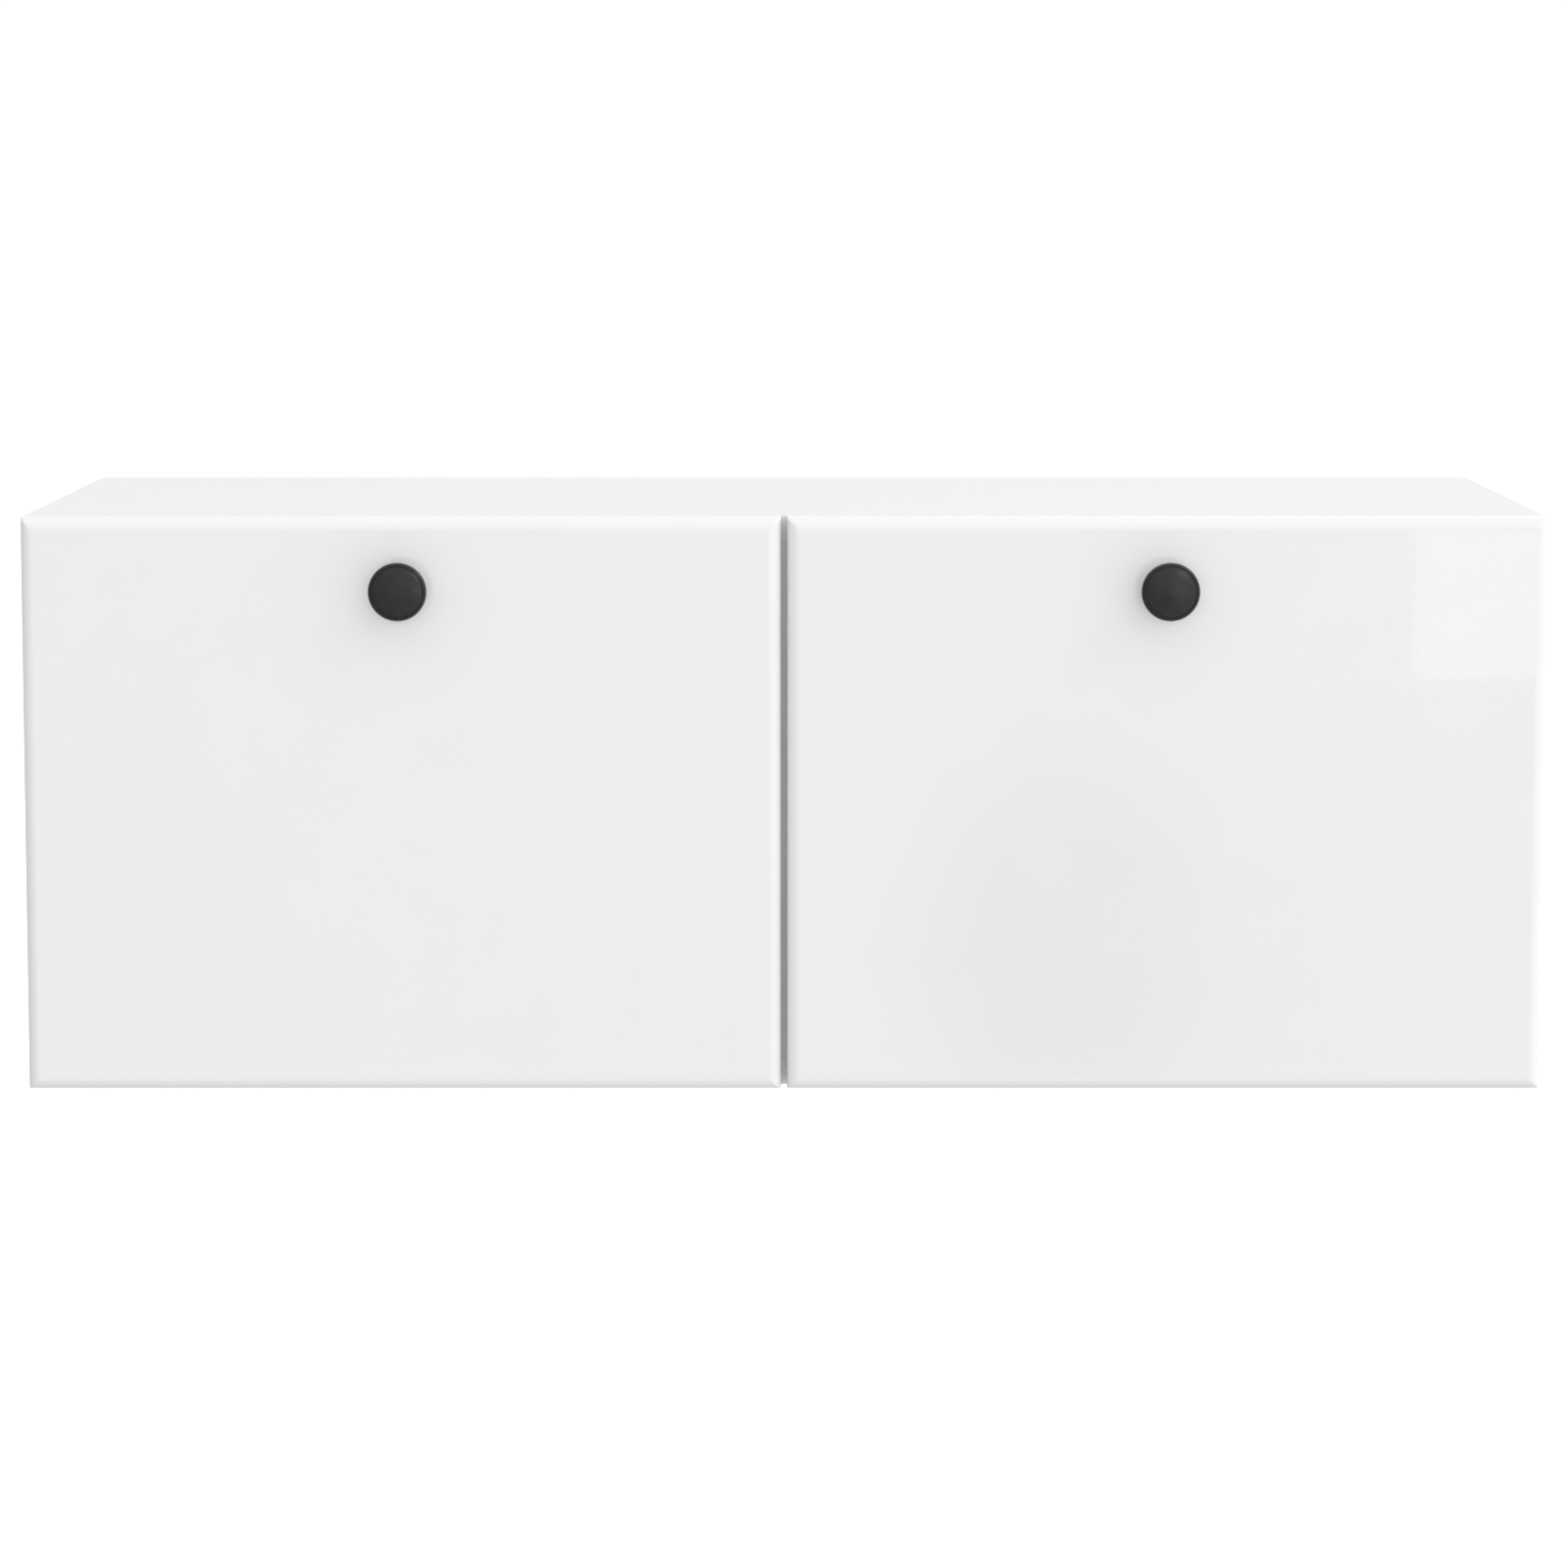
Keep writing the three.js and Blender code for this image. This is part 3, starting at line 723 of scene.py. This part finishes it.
def hook_piece(side):
    """A bent steel hook: a bar out of the housing, with a lip that drops behind the wall plate."""
    name = f"{side}_hanger_hook"
    low, high = box_mm(name)
    lip_front = box_mm(f"{side}_wall_plate")[0].y + PLATE_STEEL + HOOK_GAP
    bar_low = high.z - 5
    outline = fillet([
        (low.y, bar_low), (lip_front, bar_low, 0.8), (lip_front, low.z, 0.8), (high.y, low.z, 1.2),
        (high.y, high.z, 2.5), (low.y, high.z),
    ])
    make_piece(
        f"{side}_hook", prism(outline, "X", low.x, high.x), ZINC, "carcass",
        replaces=[name], edge=0.4,
    )


def wall_plate(side):
    """A pressed plate on the wall; its upper lip stands off so that the hook drops behind it."""
    name = f"{side}_wall_plate"
    low, high = box_mm(name)
    middle = (low.x + high.x) / 2
    bend_low, bend_high = (low.z + rise for rise in PLATE_BENDS)
    outline = fillet([
        (0, low.z), (0, bend_low, 3), (low.y + PLATE_STEEL, bend_high, 1.5), (low.y + PLATE_STEEL, high.z),
        (low.y, high.z), (low.y, bend_high - 1, 3), (-PLATE_STEEL, bend_low - 1, 1.5), (-PLATE_STEEL, low.z),
    ], steps=4)
    holes = [
        prism(bar((middle - 3, z), (middle + 3, z), 2.6, 2.6, 10), "Y", -PLATE_STEEL - PAST, PAST)
        for z in (low.z + 8, bend_low - 10)
    ]
    make_piece(
        f"{side}_plate", cut(prism(outline, "X", low.x, high.x), *holes), ZINC,
        "carcass", replaces=[name], edge=0.3,
    )


# ---------------------------------------------------------------- hinges
CUP_RISE = 13.5  # from the hinge's axis to the middle of its cup
CUP_R = 17.3
CUP_WALL = 0.8
CHEEK_OUT = 9.4  # from the middle of the cup to the outside of the cheeks that hold the pin


def hinge_cup(side, which):
    """A drawn steel cup with a winged flange; two cheeks inside it hold the pin."""
    name = f"{side}_{which}_hinge_cup"
    axis = hinge_place(side, which)
    low, high = box_mm(name)
    bottom, face = low.y - axis.y, high.y - axis.y
    seat = face - CUP_WALL
    inside = CUP_R - CUP_WALL
    bowl = lathe(fillet([
        (0, bottom), (CUP_R, bottom, 2.2), (CUP_R, seat), (CUP_R + 0.5, seat), (CUP_R + 0.5, face, 0.3),
        (inside, face, 0.6), (inside, bottom + CUP_WALL, 1.4), (0, bottom + CUP_WALL),
    ], closed=False), 64)
    moved(bowl, (0, 0, CUP_RISE))
    half, tall = (high.x - low.x) / 2, 7.0
    wing_line = rectangle((-half, CUP_RISE - tall), (half, CUP_RISE + tall), 4.5)
    mouth = rod("Y", inside + 0.3, bottom, face + PAST, (0, CUP_RISE), 64)
    wings = cut(prism(wing_line, "Y", seat, face), mouth)
    cheeks = [
        block((sign * 5.4, bottom + 0.4, -2.6), (sign * CHEEK_OUT, 3.0, 3.0), 1.0, "X") for sign in (-1, 1)
    ]
    keep = rod("Y", CUP_R - 0.3, bottom, face, (0, CUP_RISE), 64)
    cheeks = combine("INTERSECT", together(*cheeks), keep)
    hole = rod("X", 1.3, 0.1 - CHEEK_OUT, CHEEK_OUT - 0.1, steps=SMALL_STEPS)
    mesh = cut(join(bowl, wings, cheeks), hole)
    make_piece(
        f"{side}_{which}_cup", moved(mesh, axis), NICKEL, f"{side}_flap", replaces=[name],
    )
    heads = [(axis.x + sign * 22.5, high.y - 0.1, axis.z + CUP_RISE) for sign in (-1, 1)]
    screws(f"{side}_{which}_cup_screws", f"{side}_flap", heads, 3.4, 1.5, "+Y", countersunk=True)


def hinge_pin(side, which):
    name = f"{side}_{which}_hinge_pin"
    axis = hinge_place(side, which)
    low, high = box_mm(name)
    start, end = low.x - axis.x, high.x - axis.x
    pin = lathe(fillet([
        (0, start), (1.2, start, 0.3), (1.2, end, 0.3), (0, end),
    ], closed=False, steps=3), SMALL_STEPS)
    make_piece(
        f"{side}_{which}_pin", moved(pin, axis, FACING["+X"]), NICKEL, f"{side}_flap",
        replaces=[name],
    )


def hinge_arm(side, which):
    """A gooseneck: the eye in the cup, the neck rising out of it, the strap back to its seat."""
    name = f"{side}_{which}_hinge_arm"
    axis = hinge_place(side, which)
    high = box_mm(name)[1]
    top, rear = high.z - axis.z, high.y - axis.y
    under = top - 3.2
    wide, screw_y, sunk = 4.8, 48, 1.2  # the neck's half width, the screw's place, its slot's depth
    neck = prism(fillet([
        (-1.6, 0), (1.6, 0), (1.6, under, 1.6), (8.0, under), (8.0, top), (-1.6, top, 4.6),
    ]), "X", -wide, wide)
    strap = prism(fillet([
        (-5.0, 3.0), (5.0, 3.0), (6.5, 9.0, 3), (6.5, rear, 2.5), (-6.5, rear, 2.5), (-6.5, 9.0, 3),
    ]), "Z", under, top)
    eye = rod("X", 2.1, -wide, wide, steps=32)
    rib = prism(bar((0, 12), (0, 34), 1.6, 1.6, 10), "Z", top - 0.5, top + 0.7)
    hole = rod("X", 1.4, -6, 6, steps=32)
    slot = prism(bar((0, screw_y - 4), (0, screw_y + 4), 2.6, 2.6, 10), "Z", top - sunk, top + PAST)
    mesh = cut(join(neck, strap, eye, rib), hole, slot)
    make_piece(
        f"{side}_{which}_arm", moved(mesh, axis), NICKEL, "carcass", replaces=[name], edge=0.25,
    )
    head = [(axis.x, axis.y + screw_y, high.z - sunk)]
    screws(f"{side}_{which}_arm_screw", "carcass", head, 3.9, 2.2, "+Z")


def hinge_seat(side, which):
    """The mounting plate: a rail under the strap and two screwed wings."""
    name = f"{side}_{which}_hinge_seat"
    low, high = box_mm(name)
    x = (low.x + high.x) / 2
    half = (high.x - low.x) / 2
    rail = block((x - 6.5, low.y, low.z), (x + 6.5, high.y, high.z), 2.0)
    wing_y, wing_top = low.y + 22, low.z + 2.0
    wings = block((x - half, wing_y - 8, low.z), (x + half, wing_y + 8, wing_top), 6.0)
    make_piece(
        f"{side}_{which}_seat", join(rail, wings), NICKEL, "carcass", replaces=[name], edge=0.3,
    )
    heads = [(x + sign * 17, wing_y, wing_top + 0.05) for sign in (-1, 1)]
    screws(f"{side}_{which}_seat_screws", "carcass", heads, 3.6, 1.6, "+Z", countersunk=True)


# ---------------------------------------------------------------- flaps
FLAP_ROUND = 8.8  # rounding of the front edges
FLAP_CORNER = 1.3  # rounding of the outer corners
FLAP_REAR = 0.3  # chamfer of the rear edges
FLAP_ARC_STEPS = 12
CUP_BORE_R = 17.5
SCREW_BORE_R = 2.3
KNOB_STEPS = 96
KNOB_DOME = 2.4  # the face's rise from its ring to its middle
KNOB_DOME_STEPS = 10


def flap_rings(low, high):
    """Rings from the rear face to the front one: (inset, y), the front edges in a quarter round."""
    rings = [(FLAP_REAR, high.y), (0.0, high.y - FLAP_REAR)]
    for step in range(FLAP_ARC_STEPS + 1):
        angle = math.pi / 2 * step / FLAP_ARC_STEPS
        rings.append((FLAP_ROUND * (1 - math.cos(angle)), low.y + FLAP_ROUND * (1 - math.sin(angle))))
    return rings


def flap_shell(low, high):
    """The outside of a flap, before anything is cut out of it."""
    mesh = bmesh.new()
    rings = []
    for inset, y in flap_rings(low, high):
        line = rectangle((low.x + inset, low.z + inset), (high.x - inset, high.z - inset), FLAP_CORNER)
        rings.append([mesh.verts.new((p[0], y, p[1])) for p in line])
    for ring in (rings[0], rings[-1]):
        mesh.faces.new(ring)
    count = len(rings[0])
    for near, far in zip(rings, rings[1:]):
        for i in range(count):
            j = (i + 1) % count
            mesh.faces.new((near[i], near[j], far[j], far[i]))
    return outward(mesh)


def flap_board(side):
    """A board wrapped in gloss foil on its front and edges, with a melamine rear face."""
    name = f"{side}_flap_panel"
    low, high = box_mm(name)
    rise = joint_mm(f"{side}_flap_hinge").z + CUP_RISE
    knob_at = centre_mm(f"{side}_knob")
    chamfer = prism([
        (high.y - 1.5, low.z), (high.y + PAST, low.z - PAST), (high.y, low.z + 1.5),
    ], "X", low.x - PAST, high.x + PAST)
    bores = []
    drilled = []
    for which in HINGES:
        place = (hinge_place(side, which).x, rise)
        cup_low = box_mm(f"{side}_{which}_hinge_cup")[0]
        bores.append(rod("Y", CUP_BORE_R, cup_low.y - 0.2, high.y + PAST, place, 64))
        drilled.append((Vector(place), CUP_BORE_R + 0.1))
    place = (knob_at.x, knob_at.z)
    bores.append(rod("Y", SCREW_BORE_R, low.y - PAST, high.y + PAST, place, 32))
    drilled.append((Vector(place), SCREW_BORE_R + 0.1))
    mesh = cut(flap_shell(low, high), chamfer, *bores)
    for face in mesh.faces:
        middle = face.calc_center_median()
        in_hole = any((Vector((middle.x, middle.z)) - place).length < radius for place, radius in drilled)
        if middle.y > high.y - 0.2:
            face.material_index = 1  # melamine
        elif in_hole and middle.y > low.y + 0.1:
            face.material_index = 2  # raw board
        else:
            face.material_index = 0  # foil
    make_piece(
        f"{side}_flap_board", mesh, FOIL, f"{side}_flap", replaces=[name],
        extra=[MELAMINE, RAW_BOARD],
    )


def knob(side):
    """A turned knob: foot, waist, flared head with a rolled rim and a fine ring on its face."""
    name = f"{side}_knob"
    low, high = box_mm(name)
    radius = (high.x - low.x) / 2
    out = high.y - low.y
    face = radius - 2.7
    profile = fillet([
        (0, 15.0), (2.1, 15.0), (2.1, 0), (10.0, 0, 0.4), (10.0, 1.8, 1.0), (7.4, 3.4, 3.0), (6.9, 9.0, 8.0),
        (8.6, 14.0, 9.0), (14.5, 18.4, 8.0), (radius, out - 6.6, 1.4), (radius, out - 2.9, 1.6),
        (radius - 1.8, out - 2.2, 0.3), (radius - 2.2, out - 2.9, 0.15), (face, out - KNOB_DOME),
    ], closed=False, steps=6)
    for step in range(1, KNOB_DOME_STEPS + 1):
        reach = 1 - step / KNOB_DOME_STEPS
        profile.append(Vector((face * reach, out - KNOB_DOME * reach ** 2)))
    place = ((low.x + high.x) / 2, high.y, (low.z + high.z) / 2)
    make_piece(
        f"{side}_turned_knob", moved(lathe(profile, KNOB_STEPS), place, FACING["-Y"]), KNOB_BLACK,
        f"{side}_flap", replaces=[name],
    )
    screw_name = f"{side}_knob_screw"
    screw_low, screw_high = box_mm(screw_name)
    shaft = rod("Y", 1.9, screw_low.y, screw_high.y - 2.0, (place[0], place[2]), SMALL_STEPS)
    head = moved(screw_head(4.0, 2.5), (place[0], screw_high.y - 2.6, place[2]))
    make_piece(
        f"{side}_knob_bolt", join(head, shaft), ZINC, f"{side}_flap", replaces=[screw_name],
    )


def closing_parts(side):
    """Strike plate and bumpers on the flap, magnet catch under the top."""
    strike = f"{side}_strike_plate"
    low, high = box_mm(strike)
    middle = (low + high) / 2
    make_piece(
        f"{side}_strike", block(low, high, 3.0, "Y"), ZINC, f"{side}_flap",
        replaces=[strike], edge=0.2,
    )
    head = [(middle.x, high.y - 0.08, middle.z)]
    screws(f"{side}_strike_screw", f"{side}_flap", head, 3.0, 1.0, "+Y", countersunk=True)
    for which in HINGES:
        bumper = f"{side}_{which}_bumper"
        low, high = box_mm(bumper)
        middle = (low + high) / 2
        thick = high.y - low.y
        radius = (high.x - low.x) / 2
        dome = lathe(fillet([
            (0, 0), (radius, 0), (radius, thick * 0.45, 0.4), (radius * 0.72, thick * 0.92, 1.5), (0, thick),
        ], closed=False), 40)
        make_piece(
            f"{side}_{which}_pad", moved(dome, (middle.x, low.y, middle.z)), SILICONE,
            f"{side}_flap", replaces=[bumper],
        )
    catch(side)


def catch(side):
    """A magnet catch: a plastic case with two steel poles and the magnet between them."""
    name = f"{side}_magnet_catch"
    low, high = box_mm(name)
    x, z = (low.x + high.x) / 2, (low.z + high.z) / 2
    front, deep = low.y, low.y + 13  # the poles, the magnet and the cut corners reach this far back
    ear_top = high.z - 3.0
    case = block(low, high, 1.5, "Y")
    window = block((x - 11, front - PAST, z - 3.6), (x + 11, deep + 1, z + 3.6), 0.8, "Y")
    corners = [
        block((x + sign * 12.5, front - PAST, low.z - PAST), (x + sign * 20, deep, ear_top))
        for sign in (-1, 1)
    ]
    make_piece(
        f"{side}_catch_case", cut(case, window, *corners), WHITE_PLASTIC, "carcass",
        replaces=[name], edge=0.4,
    )
    poles = [
        block((x - 10.5, front, z + sign * 3.3), (x + 10.5, deep, z + sign * 1.9), 0.3, "Y")
        for sign in (-1, 1)
    ]
    make_piece(f"{side}_catch_poles", together(*poles), ZINC, "carcass", edge=0.15)
    magnet = block((x - 10.0, front + 0.5, z - 1.85), (x + 10.0, deep, z + 1.85))
    make_piece(f"{side}_catch_magnet", magnet, MAGNET, "carcass", edge=0.15)
    heads = [(x + sign * 14.8, front + 7.5, ear_top) for sign in (-1, 1)]
    screws(f"{side}_catch_screws", "carcass", heads, 2.3, 1.2, "-Z")


# ---------------------------------------------------------------- flap stays
CASE_THICK = 14.0
CASE_R, TAIL_R = 21.0, 15.0  # the case's two ends
SEAM_HIGH, SEAM_LOW = 7.2, 6.6  # the seam round the case, from the side board
BOLT_SUNK = 1.0  # how deep the brake bolt starts inside the case
FOOT_THICK = 2.0
LUG_NEAR, LUG_FAR = 14.5, 17.5  # the bracket's lug, from the side board
LINK_GAP, LINK_THICK = 0.5, 3.0


def stay(side, sign):
    """A housing with a brake, an arm, a link, the rivet between them, and a bracket on the flap."""
    pivot = joint_mm(f"{side}_stay_arm_pivot")
    throw = joint_mm(f"{side}_stay_link_pivot")
    rivet_name = f"{side}_stay_rivet"
    elbow = centre_mm(rivet_name)
    pivot_at, throw_at, elbow_at = (pivot.y, pivot.z), (throw.y, throw.z), (elbow.y, elbow.z)
    wall = outer_inner(f"{side}_side_panel", sign)[1]
    stay_housing(side, sign, wall, pivot_at)
    strip(side, "arm", (pivot_at, elbow_at), (10.0, 8.0), (5.2, 3.1))
    strip(side, "link", (throw_at, elbow_at), (8.0, 8.0), (3.3, 3.3))
    low, high = box_mm(rivet_name)
    length = high.x - low.x
    profile = fillet([
        (0, 0), (2.5, 0), (5.0, 0.55, 0.5), (5.0, 1.1), (3.0, 1.1), (3.0, length - 1.2), (5.0, length - 1.2),
        (5.0, length - 0.6, 0.5), (2.5, length), (0, length),
    ], closed=False, steps=4)
    start = (outer_inner(rivet_name, sign)[0], elbow.y, elbow.z)
    make_piece(
        f"{side}_elbow_rivet", moved(lathe(profile, 40), start, FACING[inward(sign)]), ZINC,
        f"{side}_stay_arm", replaces=[rivet_name],
    )
    stay_bracket(side, sign, wall, throw_at)


def stay_housing(side, sign, wall, pivot_at):
    """A moulded case on the side board, with a seam, a dish round the brake bolt, and a screw."""
    name = f"{side}_stay_housing"
    low, high = box_mm(name)
    y, z = pivot_at
    tail_at = (high.y - TAIL_R, z)
    inner = wall - sign * CASE_THICK
    past = inner - sign * PAST

    def case(grown, start, end):
        """The case's outline, grown by a little, between two distances from the side board."""
        outline = bar(pivot_at, tail_at, CASE_R + grown, TAIL_R + grown, 32)
        return prism(outline, "X", wall - sign * start, wall - sign * end)

    dish = cut(
        rod("X", 17.0, inner + sign * 0.8, past, pivot_at, 64),
        rod("X", 15.6, inner + sign * 1.5, inner - sign * 2 * PAST, pivot_at, 64),
    )
    seam = cut(case(1.0, SEAM_LOW, SEAM_HIGH), case(-0.4, SEAM_LOW - 0.6, SEAM_HIGH + 0.8))
    well_floor = inner + sign * 3.0
    well = rod("X", 4.6, well_floor, past, tail_at, 40)
    make_piece(
        f"{side}_stay_case", cut(case(0.0, 0.0, CASE_THICK), dish, seam, well), GREY_PLASTIC,
        "carcass", replaces=[name], edge=0.8, segments=3,
    )
    screws(f"{side}_stay_case_screw", "carcass", [(well_floor, *tail_at)], 4.0, 2.0, inward(sign))
    reach = (high.x - low.x) - CASE_THICK + BOLT_SUNK
    bolt = fillet([
        (0, 0), (5.0, 0), (5.0, reach - 1.4), (7.5, reach - 1.4), (7.5, reach - 0.5, 0.5), (4.5, reach, 0.6),
        (0, reach),
    ], closed=False, steps=4)
    mesh = cut(lathe(bolt), block((-3.6, reach - 0.9, -0.6), (3.6, reach + PAST, 0.6)))
    start = (inner + sign * BOLT_SUNK, y, z)
    make_piece(
        f"{side}_brake_bolt", moved(mesh, start, FACING[inward(sign)]), NICKEL, "carcass",
    )


def strip(side, kind, ends, eye_radii, hole_radii):
    """A flat steel strip with an eye at each end and a pressed channel between them."""
    node = f"{side}_stay_{kind}"
    low, high = box_mm(node)
    body = prism(bar(*ends, *eye_radii, 24), "X", low.x, high.x)
    holes = [
        rod("X", radius, low.x - PAST, high.x + PAST, place, 40) for place, radius in zip(ends, hole_radii)
    ]
    first, last = (Vector(end) for end in ends)
    along = (last - first).normalized()
    near, far = first + along * 20, last - along * 18
    channels = [
        prism(bar(near, far, 2.6, 2.6, 10), "X", start, start + step)
        for start, step in ((low.x - PAST, 1.6), (high.x + PAST, -1.6))
    ]
    make_piece(
        f"{side}_{kind}_strip", cut(body, *holes, *channels), NICKEL, node,
        replaces=[node], edge=0.35,
    )


def stay_bracket(side, sign, wall, throw_at):
    """A screwed foot on the flap, with a gusseted lug and the link's pin."""
    name = f"{side}_stay_bracket"
    low, high = box_mm(name)
    y, z = throw_at
    foot = block(low, (high.x, low.y + FOOT_THICK, high.z), 4.0, "Y")
    near, far = wall - sign * LUG_NEAR, wall - sign * LUG_FAR
    lug = prism(fillet([
        (low.y + 1, z - 14), (y + 2, z - 7, 2), (y + 2, z + 7, 2), (low.y + 1, z + 14),
    ]), "X", near, far)
    boss = rod("X", 7.0, near, far, throw_at, 48)
    link_face = far - sign * (LINK_GAP + LINK_THICK)
    pin = rod("X", 3.0, far + sign, link_face - sign * 1.2, throw_at, 40)
    head = rod("X", 5.0, link_face - sign * 0.3, link_face - sign * 1.5, throw_at, 40)
    make_piece(
        f"{side}_bracket", join(foot, lug, boss, pin, head), NICKEL, f"{side}_flap",
        replaces=[name], edge=0.3,
    )
    screw_x = outer_inner(name, sign)[1] + sign * 9
    heads = [(screw_x, low.y + FOOT_THICK + 0.05, z + rise) for rise in (-13, 13)]
    screws(f"{side}_bracket_screws", f"{side}_flap", heads, 3.6, 1.5, "+Y", countersunk=True)


# ---------------------------------------------------------------- studio
CAMERA_PLACE = (0.0, -3.1495, 0.4304)
CAMERA_PITCH = math.radians(5.318)  # below the horizon
CAMERA_SHIFT = -0.15
LENS = 98.83
FLOOR_DROP = 1.4  # from the underside of the cabinet to the floor
FLOOR_HALF = 30.0  # half the floor's length and width
WHITE = (1.0, 1.0, 1.0, 1.0)
BACKDROP_LEVEL = 1.05
WORLD_LEVEL = 0.875
WORLD_LEAN = (0.34, 0.11, 0.23)  # how much more light comes from the right, from behind and from above


def camera():
    data = bpy.data.cameras.new("camera")
    data.lens = LENS
    data.shift_y = CAMERA_SHIFT
    data.clip_end = 100.0
    eye = bpy.data.objects.new("camera", data)
    bpy.context.scene.collection.objects.link(eye)
    eye.location = CAMERA_PLACE
    eye.rotation_euler = (math.pi / 2 - CAMERA_PITCH, 0.0, 0.0)
    bpy.context.scene.camera = eye


def softbox(name, place, target, size, power):
    data = bpy.data.lights.new(name, "AREA")
    data.shape = "RECTANGLE"
    data.size, data.size_y = size
    data.energy = power
    light = bpy.data.objects.new(name, data)
    bpy.context.scene.collection.objects.link(light)
    light.location = place
    aim = Vector(target) - Vector(place)
    light.rotation_euler = aim.to_track_quat("-Z", "Y").to_euler()
    light.visible_camera = False
    return light


def soft_world():
    """A white backdrop, and even light all round that is a little stronger on some sides."""
    world = bpy.data.worlds.new("studio")
    bpy.context.scene.world = world
    world.use_nodes = True
    nodes, links = world.node_tree.nodes, world.node_tree.links
    background = nodes["Background"]
    background.inputs["Color"].default_value = WHITE
    place = nodes.new("ShaderNodeTexCoord")
    lean = nodes.new("ShaderNodeVectorMath")
    lean.operation = "DOT_PRODUCT"
    lean.inputs[1].default_value = WORLD_LEAN
    level = nodes.new("ShaderNodeMath")
    level.operation = "ADD"
    level.inputs[1].default_value = WORLD_LEVEL
    backdrop = nodes.new("ShaderNodeMix")
    backdrop.inputs["B"].default_value = BACKDROP_LEVEL
    path = nodes.new("ShaderNodeLightPath")
    links.new(place.outputs["Generated"], lean.inputs[0])
    links.new(lean.outputs["Value"], level.inputs[0])
    links.new(path.outputs["Is Camera Ray"], backdrop.inputs["Factor"])
    links.new(level.outputs["Value"], backdrop.inputs["A"])
    links.new(backdrop.outputs["Result"], background.inputs["Strength"])


def floor():
    """A plain pale floor, far below, that throws no light or reflection onto the cabinet."""
    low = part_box("bottom_panel")[0]
    mesh = bmesh.new()
    bmesh.ops.create_grid(mesh, x_segments=8, y_segments=8, size=FLOOR_HALF)
    plane = as_object(mesh, "floor")
    plane.location = (0.0, 0.0, low.z - FLOOR_DROP)
    material = new_material("floor", (0.9, 0.9, 0.9), 0.9, emission_strength=0.4)
    shader_of(material).inputs["Emission Color"].default_value = WHITE
    vary_roughness(material, noise(material, 3.0), 0.85, 0.95)
    plane.data.materials.append(material)
    plane.visible_diffuse = False
    plane.visible_glossy = False
    plane.visible_shadow = False


def dark_card(name, place, half_size, density, core):
    """A soft-edged dark card behind the camera, seen only as a reflection in the gloss of the flaps."""
    mesh = bmesh.new()
    bmesh.ops.create_grid(mesh, x_segments=1, y_segments=1, size=1.0)
    card = as_object(mesh, name)
    card.location = place
    card.rotation_euler = (math.pi / 2, 0.0, 0.0)
    card.scale = (*half_size, 1.0)
    material = bpy.data.materials.new(name)
    material.use_nodes = True
    output = material.node_tree.nodes["Material Output"]
    centre = add_node(material, "ShaderNodeTexCoord")
    reach = add_node(material, "ShaderNodeVectorMath")
    reach.operation = "LENGTH"
    fade = add_node(material, "ShaderNodeMapRange", from_min=core, from_max=1.0, to_min=density, to_max=0.0)
    fade.interpolation_type = "SMOOTHSTEP"
    clear = add_node(material, "ShaderNodeBsdfTransparent")
    dark = add_node(material, "ShaderNodeEmission", strength=0.0)
    blend = add_node(material, "ShaderNodeMixShader")
    wire(material, centre.outputs["Object"], reach.inputs[0])
    wire(material, reach.outputs["Value"], fade.inputs["Value"])
    wire(material, fade.outputs["Result"], blend.inputs["Fac"])
    wire(material, clear.outputs["BSDF"], blend.inputs[1])
    wire(material, dark.outputs["Emission"], blend.inputs[2])
    wire(material, blend.outputs["Shader"], output.inputs["Surface"])
    card.data.materials.append(material)
    card.visible_camera = False
    card.visible_diffuse = False
    card.visible_shadow = False


# ---------------------------------------------------------------- build
camera()
soft_world()
floor()
front = softbox("front", (0.0, -4.5, 0.5), (0.0, -0.3, 0.0), (2.2, 1.6), 42.0)
front.visible_glossy = False
softbox("key", (1.95, -4.3, 1.85), (0.0, -0.35, 0.0), (1.0, 1.0), 7.5)
softbox("high", (4.8, -2.85, 4.7), (0.0, -0.35, 0.0), (1.4, 1.4), 24.0)
softbox("window", (1.191, -3.6, -0.018), (1.191, 0.0, -0.018), (0.6, 0.6), 1.0)
dark_card("stand", (0.38, -3.4, -0.66), (0.28, 0.36), 1.0, 0.35)
dark_card("shade", (0.48, -3.45, -0.70), (0.46, 0.58), 0.25, 0.3)
carcass()
for side, sign in SIDES.items():
    hanger(side, sign)
    flap_board(side)
    knob(side)
    closing_parts(side)
    stay(side, sign)
    for which in HINGES:
        hinge_cup(side, which)
        hinge_pin(side, which)
        hinge_arm(side, which)
        hinge_seat(side, which)
bpy.context.scene.view_settings.view_transform = "Standard"
